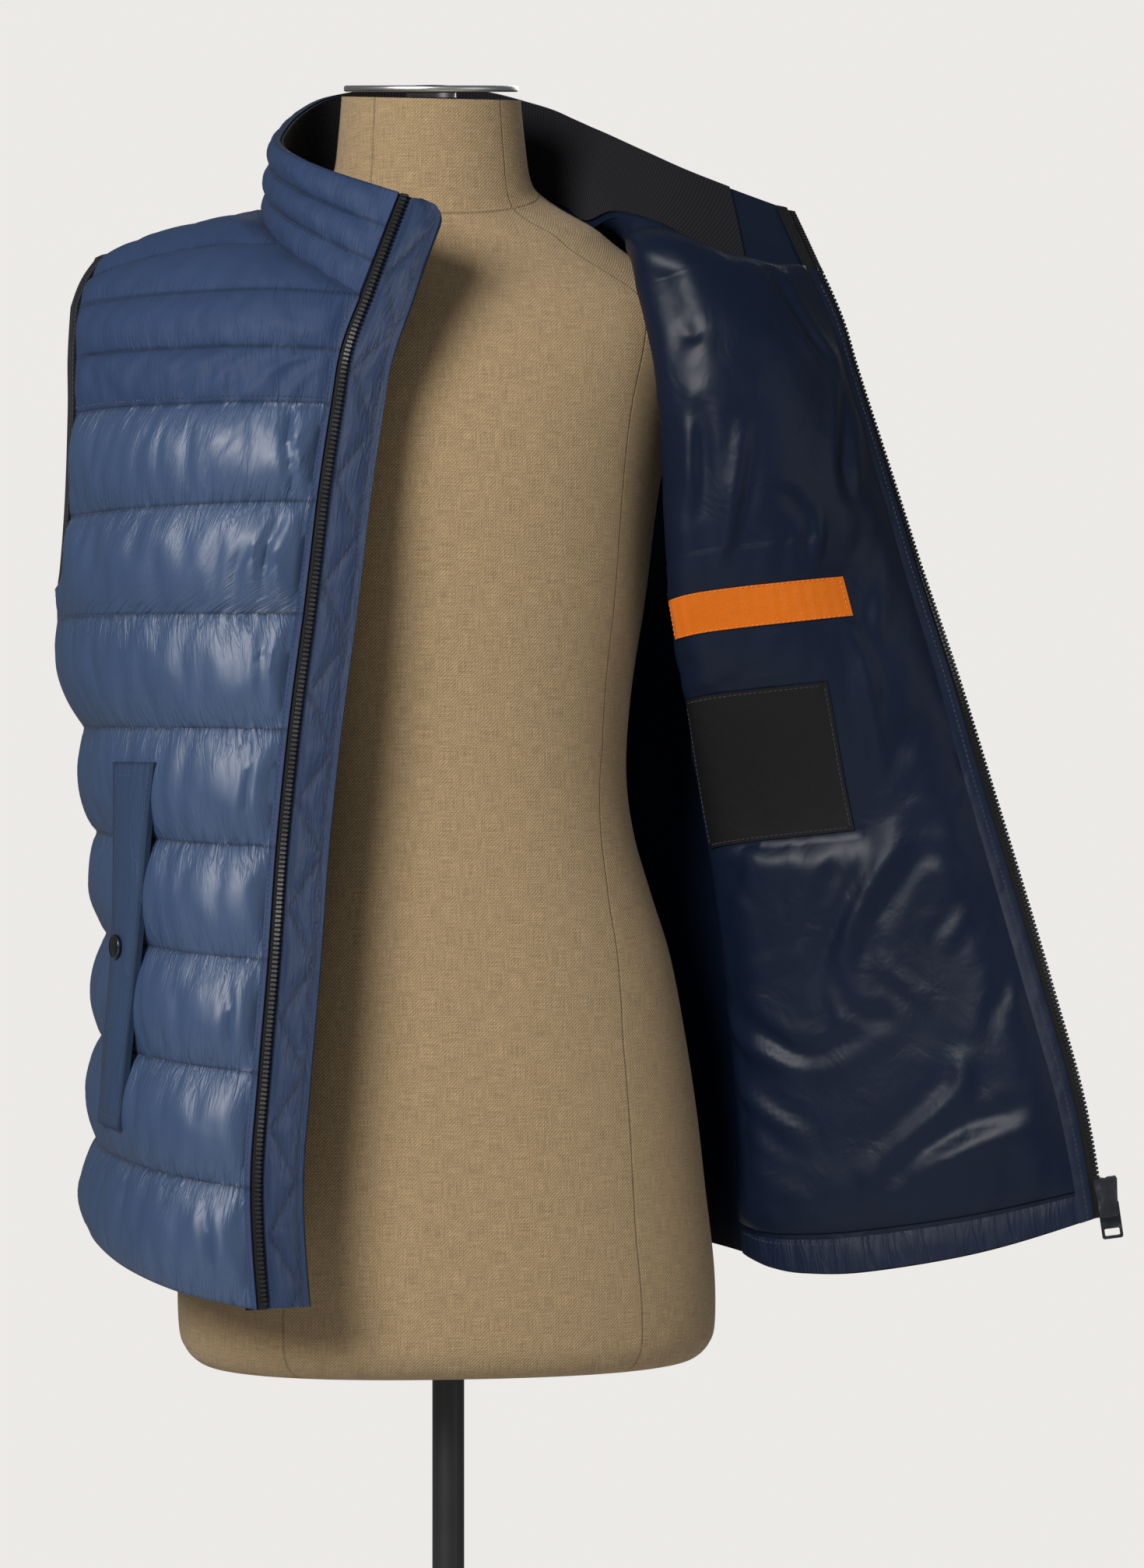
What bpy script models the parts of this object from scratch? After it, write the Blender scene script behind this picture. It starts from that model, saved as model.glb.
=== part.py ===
"""Padded quilted vest with its left front thrown open, on a limbless dress form with a pole and a round base.

Tables are in millimetres, meshes in metres. The front faces -Y, the wearer's right is at -X, +Z is up, and
the origin is the middle of the base plate's underside. Each panel of the vest is a table with one row for
each quilting seam, from the shoulder down to the hem, and one column for each station, from its side or
armhole edge to its front edge. The table's points are the plain inner face of the wall, and the padding
stands out from them. What is sewn on a panel is made from the same points, moved out or in.
"""

import math

import bmesh
import bpy
import numpy as np
from mathutils import Matrix, Vector

MM = 0.001

# Stand and dress form
BASE_RADIUS = 180
BASE_THICK = 12
BASE_EDGE = 3
POLE_RADIUS = 10.25
FORM_BOTTOM = 740
FORM_LEAN = 0.0136
FORM_SIDES = 30
CAP_RADIUS = 56
CAP_THICK = 4
CAP_BOSS_RADIUS = 16
CAP_BOSS_HIGH = 3.5
CAP_ROLL = math.radians(1.2)
NECK_TOP = 1550
NECK_TILT = 0.157
SEAT_GAP = 0.35

# Sections of the form: height at the middle, half width, reach to the front, reach to the back, how much
# higher the section is at the back (per mm of depth), and the squareness of its outline.
FORM_SECTIONS = (
    # high, half, front, back, tilt, square
    (740, 150, 92, 100, 0.00, 2.3),
    (743, 160, 101, 110, 0.00, 2.3),
    (751, 168, 109, 118, 0.00, 2.3),
    (764, 172, 113, 122, 0.00, 2.3),
    (800, 172, 114, 124, 0.00, 2.3),
    (850, 167, 112, 123, 0.00, 2.3),
    (900, 162, 109, 119, 0.00, 2.3),
    (950, 155, 106, 111, 0.00, 2.3),
    (1000, 146, 103, 100, 0.00, 2.3),
    (1040, 134, 101, 92, 0.00, 2.3),
    (1080, 123, 100, 86, 0.00, 2.3),
    (1120, 119, 100, 84, 0.00, 2.3),
    (1170, 123, 103, 88, 0.00, 2.3),
    (1230, 133, 109, 95, 0.00, 2.3),
    (1295, 142, 114, 103, 0.00, 2.3),
    (1345, 153, 111, 108, 0.00, 2.3),
    (1385, 168, 101, 107, 0.01, 2.3),
    (1408, 176, 90, 101, 0.02, 2.2),
    (1424, 170, 81, 95, 0.05, 2.2),
    (1437, 152, 74, 88, 0.09, 2.1),
    (1448, 132, 68, 82, 0.13, 2.1),
    (1458, 118, 63, 77, 0.18, 2.0),
    (1469, 104, 60, 72, 0.24, 2.0),
    (1480, 83, 57, 66, 0.32, 2.0),
    (1490, 69, 55, 61, 0.38, 2.0),
    (1501, 63, 54, 58, 0.36, 2.0),
    (1523, 60, 53, 56, 0.26, 2.0),
    (NECK_TOP, 57.5, 53, 55, NECK_TILT, 2.0),
)

# The rows of a panel's table: 0 the shoulder seam, 1 to 3 yoke seams, 4 the seam under the yoke, 5.65 the
# bottom of the armhole, the other whole numbers quilting seams down to 12, the hem. Row 2 ends at the
# corner where the neckline meets the zip.
ROW_PLACES = (0, 1, 2, 3, 4, 5, 5.65, 6, 7, 8, 9, 10, 11, 12)
NECK_CORNER_ROW = 2
YOKE_ROW = 4
UNDERARM_ROW = 6
HEM_ROW = 12

RIGHT_FRONT = (
    # armhole or side, second, third, fourth, neckline or zip
    ((-222, 23, 1442), (-196, 17, 1452), (-170, 12, 1460), (-142, 6, 1466), (-115, 1.5, 1472)),
    ((-231, 4, 1427), (-205, -22, 1435), (-177, -44, 1440), (-145, -62, 1443), (-110, -77, 1441)),
    ((-237, -10, 1410), (-207, -55, 1411), (-168, -92, 1411), (-122, -122, 1410), (-69, -138, 1406)),
    ((-239, -22, 1377), (-212, -66, 1377), (-176, -104, 1376), (-132, -134, 1375), (-82, -145, 1373)),
    ((-239, -27, 1342), (-214, -72, 1342), (-180, -111, 1341), (-137, -139, 1341), (-88, -147, 1340)),
    ((-241, -18, 1278), (-220, -72, 1278), (-188, -114, 1279), (-145, -142, 1280), (-97, -151, 1281)),
    ((-244, -4, 1238), (-228, -62, 1238), (-197, -108, 1238), (-152, -140, 1238), (-102, -152, 1238)),
    ((-246, 30, 1216), (-238, -42, 1215), (-208, -98, 1214), (-160, -138, 1213), (-105, -152, 1213)),
    ((-229, 31, 1147), (-223, -36, 1146), (-200, -92, 1145), (-161, -133, 1144), (-114, -151, 1143)),
    ((-221, 28, 1080), (-216, -34, 1079), (-197, -88, 1077), (-165, -130, 1074), (-121, -150, 1072)),
    ((-215, 22, 1015), (-212, -38, 1013), (-197, -90, 1011), (-168, -132, 1007), (-126, -154, 1004)),
    ((-218, 22, 950), (-215, -38, 947), (-200, -92, 944), (-172, -135, 940), (-132, -157, 936)),
    ((-221, 24, 885), (-218, -38, 881), (-203, -94, 877), (-176, -138, 872), (-137, -161, 867)),
    ((-227, 24, 829), (-223, -38, 822), (-206, -95, 812), (-175, -140, 802), (-133, -163, 794)),
)

LEFT_ROW_PLACES = (0, 0.5, *ROW_PLACES[1:])
LEFT_FRONT = (
    # armhole or side, leg, inner side of the roll, roll, outer side of the roll, middle, neckline or zip
    ((202, 26, 1441), (172, 25.5, 1452), (142, 24.5, 1461), (122, 22.8, 1465.6), (115, 22.3, 1467),
     (107, 21.5, 1468.8), (94, 20, 1471)),
    ((202, 19, 1435), (174, 4, 1442), (145, -7, 1448), (119, -15, 1451), (112, -22, 1457), (113, -27, 1465),
     (119, -29, 1472)),
    ((202, 10, 1428), (170, -12, 1435), (136, -31, 1441), (114, -49, 1444), (112, -61, 1453), (130, -63, 1457),
     (155, -57, 1447)),
    ((200, -6, 1411), (167, -32, 1414), (135.5, -55.5, 1419), (114, -70, 1423), (130, -84, 1427), (178, -78, 1433),
     (229, -52, 1439)),
    ((198, -16, 1378), (167, -44, 1380), (138, -66, 1383), (120, -82, 1387), (136, -97, 1391), (188, -92, 1399),
     (244, -54, 1406)),
    ((197, -22, 1343), (168, -50, 1345), (142, -73, 1348), (125, -88, 1352), (140, -103, 1356), (195, -98, 1364),
     (254, -56, 1373)),
    ((200, -16, 1280), (172, -42, 1283), (146, -66, 1287), (130, -84, 1291), (146, -100, 1296), (205, -100, 1305),
     (272, -60, 1315)),
    ((203, 0, 1238), (180, -31, 1243), (153, -58, 1247), (133, -79, 1251), (148, -96, 1256), (211, -99, 1264),
     (285, -63, 1272)),
    ((207, 22, 1216), (185, -15, 1220), (156, -50, 1225), (134, -72, 1229), (150, -90, 1235), (215, -97, 1242),
     (292, -65, 1248)),
    ((205, 30, 1150), (190, 4, 1152), (168, -22, 1156), (150, -44, 1160), (168, -62, 1165), (235, -84, 1172),
     (312, -75, 1180)),
    ((200, 38, 1080), (190, 18, 1082), (176, 2, 1085), (166, -14, 1089), (184, -34, 1094), (252, -68, 1102),
     (331, -84, 1111)),
    ((196, 36, 1012), (189, 22, 1014), (181, 8, 1017), (180, -8, 1021), (200, -28, 1026), (268, -66, 1035),
     (350, -92, 1044)),
    ((194, 30, 945), (190, 18, 946), (187, 4, 949), (192, -10, 953), (215, -32, 958), (285, -72, 967),
     (368, -102, 976)),
    ((193, 20, 878), (192, 8, 879), (194, -6, 881), (206, -20, 885), (236, -42, 890), (305, -82, 899),
     (385, -111, 908)),
    ((193, 8, 806), (198, -6, 802), (208, -20, 798), (226, -36, 796), (262, -60, 799), (328, -94, 814),
     (396, -116, 837)),
)

BACK = (
    # right side, shoulder, right neck, blade, middle, blade, left neck, shoulder, left side
    ((-222, 23, 1442), (-170, 12, 1460), (-115, 1.5, 1472), (-80, 69, 1494), (2, 92, 1501), (68, 70, 1493),
     (94, 20, 1471), (150, 25, 1459), (202, 26, 1441)),
    ((-226, 38, 1428), (-178, 51, 1442), (-123, 50.5, 1461), (-68, 88, 1460), (0, 106, 1462), (62, 92, 1460),
     (103, 60, 1455), (154, 58, 1444), (205, 42, 1428)),
    ((-228, 54, 1411), (-182, 76, 1416), (-125, 88, 1419), (-66, 104, 1421), (0, 115, 1422), (58, 106, 1421),
     (107, 90, 1419), (158, 82, 1415), (206, 58, 1411)),
    ((-229, 66, 1378), (-186, 94, 1380), (-130, 110, 1381), (-66, 119, 1382), (-2, 123, 1383), (58, 118, 1382),
     (110, 108, 1381), (162, 96, 1380), (208, 70, 1378)),
    ((-229, 74, 1343), (-188, 103, 1343), (-132, 119, 1343), (-67, 126, 1343), (-3, 128, 1343), (58, 124, 1343),
     (112, 114, 1343), (164, 102, 1343), (209, 77, 1343)),
    ((-232, 76, 1280), (-192, 108, 1280), (-135, 124, 1280), (-69, 131, 1280), (-4, 133, 1280), (58, 128, 1280),
     (113, 118, 1280), (166, 104, 1280), (211, 74, 1280)),
    ((-240, 62, 1238), (-200, 103, 1238), (-140, 125, 1238), (-70, 133, 1238), (-4, 135, 1238), (58, 130, 1238),
     (114, 118, 1238), (170, 96, 1238), (210, 46, 1237)),
    ((-246, 30, 1216), (-214, 88, 1217), (-150, 122, 1217), (-73, 133, 1217), (-4, 136, 1217), (60, 130, 1217),
     (118, 112, 1217), (174, 78, 1217), (207, 22, 1216)),
    ((-229, 31, 1147), (-204, 88, 1148), (-147, 122, 1148), (-74, 134, 1148), (-5, 137, 1148), (60, 131, 1148),
     (118, 112, 1148), (172, 82, 1148), (205, 30, 1150)),
    ((-221, 28, 1080), (-200, 84, 1079), (-146, 121, 1078), (-75, 135, 1078), (-6, 139, 1078), (60, 133, 1078),
     (118, 114, 1078), (170, 84, 1079), (200, 38, 1080)),
    ((-215, 22, 1015), (-198, 82, 1013), (-146, 123, 1012), (-76, 139, 1012), (-7, 143, 1012), (60, 136, 1012),
     (117, 115, 1012), (168, 82, 1012), (196, 36, 1012)),
    ((-218, 22, 950), (-201, 84, 948), (-148, 127, 946), (-77, 145, 946), (-7, 149, 946), (60, 141, 946),
     (117, 116, 946), (167, 78, 945), (194, 30, 945)),
    ((-221, 24, 885), (-204, 87, 883), (-150, 132, 881), (-78, 151, 880), (-8, 155, 880), (60, 146, 880),
     (117, 118, 879), (166, 73, 879), (193, 20, 878)),
    ((-227, 24, 829), (-207, 90, 824), (-152, 136, 818), (-79, 155, 815), (-8, 159, 815), (60, 150, 814),
     (116, 119, 812), (164, 66, 810), (193, 8, 806)),
)

# The collar's top edge, at stations counted along the neckline from the right zip to the left one.
COLLAR_TOP = (
    # station, x, y, z
    (0, -43, -120, 1472),
    (3, -98, -72, 1499),
    (6, -105, 1, 1528),
    (8, -69, 76, 1562),
    (10, 8, 106, 1576),
    (12, 66, 86, 1562),
    (14, 90, 64, 1549),
    (17, 154, -7, 1506),
    (20, 219, -11, 1482),
)

# Cloth
WALL = 3.0
WALL_TURNED = 2.0
PUFF_YOKE = 5.0
PUFF_BODY = 9.0
PUFF_COLLAR = 4.0
PUFF_ROUND = 0.8
SEAM_GAP = 0.3
COLLAR_GAP = 1.2
LAYER_GAP = 0.5
LINING_GAP = 0.8
LINING_THICK = 1.0
KNIT_THICK = 1.3
CHANNEL_PARTS = (0, 0.3, 0.7)
COLLAR_SEAMS = 3

RIGHT_STATIONS = (0, 0.2, 0.7, 1.2, 1.7, 2.2, 2.7, 3.2, 3.76, 4)
LEFT_STATIONS = (0, 0.3, 0.8, 1.4, 2, 2.5, 3, 3.5, 4, 4.5, 5, 5.5, 5.8, 6)
BACK_STATIONS = (0, 0.17, *(step / 2 for step in range(1, 16)), 7.83, 8)
BACK_NECK = (2, 6)
RIGHT_ZIP = 4
LEFT_ZIP = 6
BACK_LEFT_SIDE = 8
ZIP_STRIP = 0.2
ROLL_STATION = 3

# Trim, from a panel's edge: how far it reaches past the edge, where it lies off the inner face, how thick
ZIP_EASING = 6
TAPE_REACH = (0.4, 9.4)
TAPE_LIFT = 0.6
TAPE_THICK = 1.6
WINDGUARD_REACH = (-5, 8, 20, 32)
WINDGUARD_LIFT = -3.2
WINDGUARD_THICK = 1.6
WINDGUARD_CORNER = (0.45, 0.8, 0.95)
BINDING_REACH = 4
BINDING_GAP = 1.2
BINDING_THICK = 0.9

# Places on the left front's inside, as (first row, last row), (first station, last station)
LINING_EDGE = (0.05, 5.77)
LINING_AT_ARMHOLE = 0.25
POCKET_TAPE = ((6.05, 6.4), (3.1, 5.3))
LABEL = ((6.95, 8.3), (3.13, 4.95))
HEM_FACING_ROW = 11.77
TRIM_THICK = 0.9

# Pocket welts on the outside: rows, and the stations of their two ends
WELT_ROWS = (7.3, 7.7, 8, 8.3, 8.7, 9, 9.3, 9.7, 10, 10.3, 10.7)
RIGHT_WELT = ((1.75, 2.45), (1.35, 2.0))
LEFT_WELT = ((4.1, 4.6), (3.85, 4.3))
WELT_OUT = WALL + PUFF_BODY + 2.5
SNAP_ROW = 9.03
SNAP_ACROSS = 0.4
SNAP_RADIUS = 7.5
SNAP_HIGH = 3.5

# Slider and pull, in the slider's own axes: across the zip, out of the panel, and up the zip
SLIDER_ROW = 11.83
SLIDER_ACROSS = (3.0, 15.5)
SLIDER_OUT = (-2.4, 5.0)
SLIDER_UP = 12
SLIDER_SLOT_ACROSS = 10.0
SLIDER_SLOT_OUT = (-0.7, 3.5)
PIN_OUT = 7.8
PIN_RADIUS = 1.2
LUG_INSIDE = 3.6
LUG_THICK = 1.3
LUG_UP = 2.2
PULL_EYE = 2.3
PULL_HOLE = 1.5
PULL_EYE_HALF = 3.3
PULL_WIDE = 11
PULL_LONG = 27
PULL_THICK = 1.8
PULL_SLOT = (7, 4)
PULL_SLOT_END = 3.5
ROUND_SIDES = 16

# Colours as red, green, blue; roughness; metallic
FINISHES = {
    "linen": ((0.45, 0.36, 0.25), 0.9, 0.0),
    "brushed_cap": ((0.55, 0.55, 0.54), 0.35, 1.0),
    "black_metal": ((0.012, 0.012, 0.013), 0.4, 0.3),
    "shell": ((0.035, 0.06, 0.13), 0.45, 0.0),
    "lining": ((0.012, 0.018, 0.04), 0.4, 0.0),
    "knit": ((0.01, 0.01, 0.012), 0.9, 0.0),
    "zip": ((0.012, 0.012, 0.014), 0.6, 0.0),
    "guard": ((0.04, 0.065, 0.14), 0.7, 0.0),
    "orange": ((0.75, 0.19, 0.01), 0.7, 0.0),
    "label": ((0.006, 0.006, 0.008), 0.6, 0.0),
    "gunmetal": ((0.03, 0.032, 0.036), 0.35, 0.9),
}


def unit(vectors):
    return vectors / np.linalg.norm(vectors, axis=-1, keepdims=True)


def weights(knots, places, corners=()):
    """How much each knot counts at each place on the smooth curve through the knots. Corners stay sharp."""
    knots = np.asarray(knots, float)
    values = np.eye(len(knots))
    step = np.diff(knots)
    slope = np.diff(values, axis=0) / step[:, None]
    share = (step[:-1] / (step[:-1] + step[1:]))[:, None]
    between = slope[:-1] * (1 - share) + slope[1:] * share
    leave = np.vstack([slope[:1], between])
    arrive = np.vstack([between, slope[-1:]])
    for knot in (0, *corners):
        leave[knot] = 1.5 * slope[knot] - 0.5 * arrive[knot]
    for knot in (*corners, len(knots) - 1):
        arrive[knot - 1] = 1.5 * slope[knot - 1] - 0.5 * leave[knot - 1]
    span = np.clip(np.searchsorted(knots, places, side="right") - 1, 0, len(step) - 1)
    t = ((places - knots[span]) / step[span])[:, None]
    bend = leave[span] * t * (1 - t) ** 2 - arrive[span] * t * t * (1 - t)
    straight = values[span] * (1 + 2 * t) * (1 - t) ** 2 + values[span + 1] * t * t * (3 - 2 * t)
    return straight + step[span][:, None] * bend


class Panel:
    """A cut panel, read as a smooth surface at any row and station of its table."""

    def __init__(self, table, turn, row_places, row_corners=(), station_corners=()):
        self.table = np.array(table, float)
        self.turn = turn
        self.row_places = row_places
        self.row_corners = [row_places.index(place) for place in row_corners]
        self.station_corners = station_corners
        self.last_station = self.table.shape[1] - 1

    def points(self, rows, stations):
        rows, stations = np.broadcast_arrays(np.asarray(rows, float), np.asarray(stations, float))
        down = weights(self.row_places, rows.ravel(), self.row_corners)
        across = weights(range(self.last_station + 1), stations.ravel(), self.station_corners)
        return np.einsum("ni,nj,ijk->nk", down, across, self.table).reshape(*rows.shape, 3)

    def frames(self, rows, stations, nudge=0.02):
        """Points, unit normals out of the panel, and unit directions towards the higher stations."""
        rows, stations = np.broadcast_arrays(np.asarray(rows, float), np.asarray(stations, float))
        ends = self.row_places[0], self.row_places[-1]
        along = self.points(rows, np.minimum(stations + nudge, self.last_station)) - self.points(
            rows, np.maximum(stations - nudge, 0)
        )
        down = self.points(np.minimum(rows + nudge, ends[1]), stations) - self.points(
            np.maximum(rows - nudge, ends[0]), stations
        )
        normals = self.turn * unit(np.cross(along, down))
        return self.points(rows, stations), normals, unit(along)


def quilt_rows(first, last):
    rows = [row + part for row in range(first, last) for part in CHANNEL_PARTS]
    return np.array(rows + [last], float)


def puff(rows, depth):
    """How far the padding of a channel stands out between its two seams."""
    return depth * np.abs(np.sin(np.pi * (rows % 1))) ** PUFF_ROUND


def body_puff(rows):
    return puff(rows, np.where(rows < YOKE_ROW, PUFF_YOKE, PUFF_BODY))


def ramp(values, start, end):
    return np.clip((values - start) / (end - start), 0, 1)


def right_thickness(rows, stations):
    fade = ramp(stations, 0.2, 0.6) * ramp(stations, RIGHT_ZIP - ZIP_STRIP, RIGHT_ZIP - 0.5)
    return WALL + body_puff(rows) * fade


def left_thickness(rows, stations):
    fade = ramp(stations, 0.3, 0.7) * ramp(stations, LEFT_ZIP - ZIP_STRIP + 0.02, LEFT_ZIP - 0.5)
    tight = (1 - ramp(np.abs(stations - ROLL_STATION), 0.4, 1.8)) * (1 - ramp(rows, 7, 10))
    turned_over = ramp(stations, 0.8, 2) * (1 - ramp(rows, 1.3, 2.7))
    full = WALL + body_puff(rows) * fade * (1 - 0.8 * tight)
    return full + (WALL_TURNED - full) * turned_over


def back_thickness(rows, stations):
    fade = ramp(stations, 0.17, 0.5) * ramp(stations, BACK_LEFT_SIDE - 0.17, BACK_LEFT_SIDE - 0.5)
    corner = ramp(np.abs(stations - BACK_NECK[1]), 1, 0.4) * ramp(rows, 1, 0.9)
    return WALL + body_puff(rows) * fade * (1 - 0.8 * corner)


def collar_thickness(rows, stations):
    fade = ramp(stations, 0.3, 1) * ramp(stations, COLLAR_TOP[-1][0] - 0.3, COLLAR_TOP[-1][0] - 1)
    turned_over = ramp(stations, 12, 14) * ramp(rows, 1.5, 2.3)
    flat = np.maximum(0.8 * turned_over, 0.5 * ramp(rows, 1.9, 2.1))
    return WALL + puff(rows, PUFF_COLLAR) * fade * (1 - flat)


def drawn_in(points, gap):
    """The grid with its four borders pulled in by the gap, so that sewn neighbours stay apart."""
    moved = points.copy()
    for here, inside in ((0, 1), (-1, -2)):
        moved[here] += gap * unit(points[inside] - points[here])
        moved[:, here] += gap * unit(points[:, inside] - points[:, here])
    return moved


def finish(mesh, name):
    """Gives the mesh its object and its material, and turns its faces outwards."""
    shape = bmesh.new()
    shape.from_mesh(mesh)
    bmesh.ops.recalc_face_normals(shape, faces=shape.faces)
    if shape.calc_volume(signed=True) < 0:
        bmesh.ops.reverse_faces(shape, faces=shape.faces)
    shape.to_mesh(mesh)
    shape.free()
    piece = bpy.data.objects.new(name, mesh)
    parts.objects.link(piece)
    return piece


def material(piece, finish_name):
    colour, rough, metal = FINISHES[finish_name]
    surface = bpy.data.materials.get(finish_name)
    if surface is None:
        surface = bpy.data.materials.new(finish_name)
        surface.use_nodes = True
        shader = surface.node_tree.nodes["Principled BSDF"]
        shader.inputs["Base Color"].default_value = (*colour, 1)
        shader.inputs["Roughness"].default_value = rough
        shader.inputs["Metallic"].default_value = metal
        surface.diffuse_color = (*colour, 1)
    piece.data.materials.append(surface)
    return piece


def grid_faces(rows, columns, start, flip):
    """Two triangles for each cell of a grid, cut along the same diagonal in every grid."""
    faces = []
    for row in range(rows - 1):
        for column in range(columns - 1):
            a = start + row * columns + column
            b, c, d = a + 1, a + columns + 1, a + columns
            faces += [(a, c, b), (a, d, c)] if flip else [(a, b, c), (a, c, d)]
    return faces


def rim_faces(rows, columns, depth):
    """The faces that close the four borders between two grids of the same size."""
    top = [(0, column) for column in range(columns)]
    right = [(row, columns - 1) for row in range(1, rows)]
    bottom = [(rows - 1, column) for column in range(columns - 2, -1, -1)]
    left = [(row, 0) for row in range(rows - 2, 0, -1)]
    loop = [row * columns + column for row, column in top + right + bottom + left]
    return [(a, b, b + depth, a + depth) for a, b in zip(loop, loop[1:] + loop[:1])]


def wall(name, inner, outer, finish_name):
    """A closed wall between an inner and an outer grid of points, in millimetres."""
    rows, columns = inner.shape[:2]
    count = rows * columns
    points = np.concatenate([inner.reshape(-1, 3), outer.reshape(-1, 3)]) * MM
    faces = grid_faces(rows, columns, 0, False) + grid_faces(rows, columns, count, True)
    mesh = bpy.data.meshes.new(name)
    mesh.from_pydata(points.tolist(), [], faces + rim_faces(rows, columns, count))
    return material(finish(mesh, name), finish_name)


def ring_loft(name, rings, finish_name, closed_path=False):
    """A solid through closed sections of the same number of points: capped, or joined end to end."""
    count, sides = rings.shape[:2]
    steps = range(count if closed_path else count - 1)
    faces = []
    for step in steps:
        here, there = step * sides, (step + 1) % count * sides
        for side in range(sides):
            other = (side + 1) % sides
            a, b, c, d = here + side, here + other, there + other, there + side
            faces += [(a, b, c), (a, c, d)] if side < sides / 2 else [(a, b, d), (b, c, d)]
    if not closed_path:
        faces += [tuple(range(sides)), tuple((count - 1) * sides + side for side in range(sides))]
    mesh = bpy.data.meshes.new(name)
    mesh.from_pydata((rings.reshape(-1, 3) * MM).tolist(), [], faces)
    return material(finish(mesh, name), finish_name)


def turned(name, profile, finish_name, sides):
    """A turned shape about Z through (radius, height) points, with a Screw modifier; ends on the axis."""
    mesh = bpy.data.meshes.new(name)
    points = [(radius * MM, 0, high * MM) for radius, high in profile]
    mesh.from_pydata(points, [(n, n + 1) for n in range(len(points) - 1)], [])
    piece = bpy.data.objects.new(name, mesh)
    parts.objects.link(piece)
    screw = piece.modifiers.new("turn", "SCREW")
    screw.axis = "Z"
    screw.steps = screw.render_steps = sides
    screw.use_merge_vertices = True
    screw.merge_threshold = 0.00005
    return material(piece, finish_name)


# Dress form and stand


def section(high, half, front, back, tilt, square):
    """One level section of the form, as points round its outline."""
    angles = np.arange(FORM_SIDES) * 2 * math.pi / FORM_SIDES
    cos, sin = np.cos(angles), np.sin(angles)
    x = half * np.sign(cos) * np.abs(cos) ** (2 / square)
    y = np.where(sin < 0, front, back) * np.sign(sin) * np.abs(sin) ** (2 / square)
    lean = FORM_LEAN * (high - FORM_BOTTOM)
    return np.stack([x - lean, y, high + tilt * y], axis=1)


def make_form():
    rings = np.array([section(*row) for row in FORM_SECTIONS])
    ring_loft("form_body", rings, "linen")


def make_neck_cap():
    top = CAP_BOSS_HIGH + CAP_THICK
    edge = CAP_THICK / 4
    profile = (
        (0, top),
        (CAP_RADIUS - edge, top),
        (CAP_RADIUS, top - edge),
        (CAP_RADIUS, CAP_BOSS_HIGH + edge),
        (CAP_RADIUS - edge, CAP_BOSS_HIGH),
        (CAP_BOSS_RADIUS, CAP_BOSS_HIGH),
        (CAP_BOSS_RADIUS, 0),
        (0, 0),
    )
    cap = turned("neck_cap", profile, "brushed_cap", 48)
    lift = SEAT_GAP + CAP_BOSS_RADIUS * math.sin(CAP_ROLL)
    lean = FORM_LEAN * (NECK_TOP - FORM_BOTTOM)
    tilt = Matrix.Rotation(math.atan(NECK_TILT), 4, "X")
    cap.matrix_world = (
        Matrix.Translation(Vector((-lean, 0, NECK_TOP)) * MM)
        @ tilt
        @ Matrix.Translation((0, 0, lift * MM))
        @ Matrix.Rotation(-CAP_ROLL, 4, "Y")
    )


def make_stand():
    base = (
        (0, BASE_THICK),
        (BASE_RADIUS - BASE_EDGE, BASE_THICK),
        (BASE_RADIUS, BASE_THICK - BASE_EDGE),
        (BASE_RADIUS, 0),
        (0, 0),
    )
    turned("base_plate", base, "black_metal", 64)
    bottom = BASE_THICK + SEAT_GAP
    top = FORM_BOTTOM - SEAT_GAP
    turned("pole", ((0, top), (POLE_RADIUS, top), (POLE_RADIUS, bottom), (0, bottom)), "black_metal", 32)


# Panels of the vest


def make_panel(name, panel, rows, stations, thickness, seam_normals, gap=SEAM_GAP):
    """The padded wall of a panel. Seam normals lean the edge faces so that sewn walls meet face to face."""
    grid = np.meshgrid(rows, stations, indexing="ij")
    inner, normals, _ = panel.frames(*grid)
    for place, leaning in seam_normals:
        normals[place] = leaning
    outer = inner + normals * thickness(*grid)[..., None]
    wall(name, drawn_in(inner, gap), drawn_in(outer, gap), "shell")


def neck_places():
    """Where the collar's stations lie: right front up to the shoulder, the back, left front down again."""
    front = quilt_rows(0, NECK_CORNER_ROW)
    back = [BACK_NECK[0] + step / 2 for step in range(1, 8)]
    right = [(right_front, row, RIGHT_ZIP) for row in front[::-1]]
    left = [(left_front, row, LEFT_ZIP) for row in front]
    return right + [(back_panel, 0, station) for station in back] + left


def collar_panel():
    """The collar's table: its base is the panels' neckline, and its top edge is COLLAR_TOP."""
    base = np.array([panel.points(row, station) for panel, row, station in neck_places()])
    stations, *_ = zip(*COLLAR_TOP)
    top = weights(stations, np.arange(len(base)), ()) @ np.array(COLLAR_TOP, float)[:, 1:]
    rows = [top + (base - top) * row / COLLAR_SEAMS for row in range(COLLAR_SEAMS + 1)]
    return Panel(rows, 1, tuple(range(COLLAR_SEAMS + 1)))


def midway(first, second):
    """The normals of two sewn edges, leaned towards each other until they meet."""
    between = (first * second).sum(axis=-1, keepdims=True)
    return (first + second) / np.maximum(1 + between, 0.6)


def neck_leans():
    """At each station of the neckline, the direction midway between the panel's and the collar's normals."""
    places = neck_places()
    below = np.array([panel.frames(row, place)[1] for panel, row, place in places])
    above = collar.frames(COLLAR_SEAMS, np.arange(len(places)))[1]
    return midway(below, above)


def seam_leans(front, front_rows, front_stations, back_rows, back_stations):
    """Midway normals along a seam between a front and the back."""
    on_front = front.frames(front_rows, front_stations)[1]
    return midway(on_front, back_panel.frames(back_rows, back_stations)[1])


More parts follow.
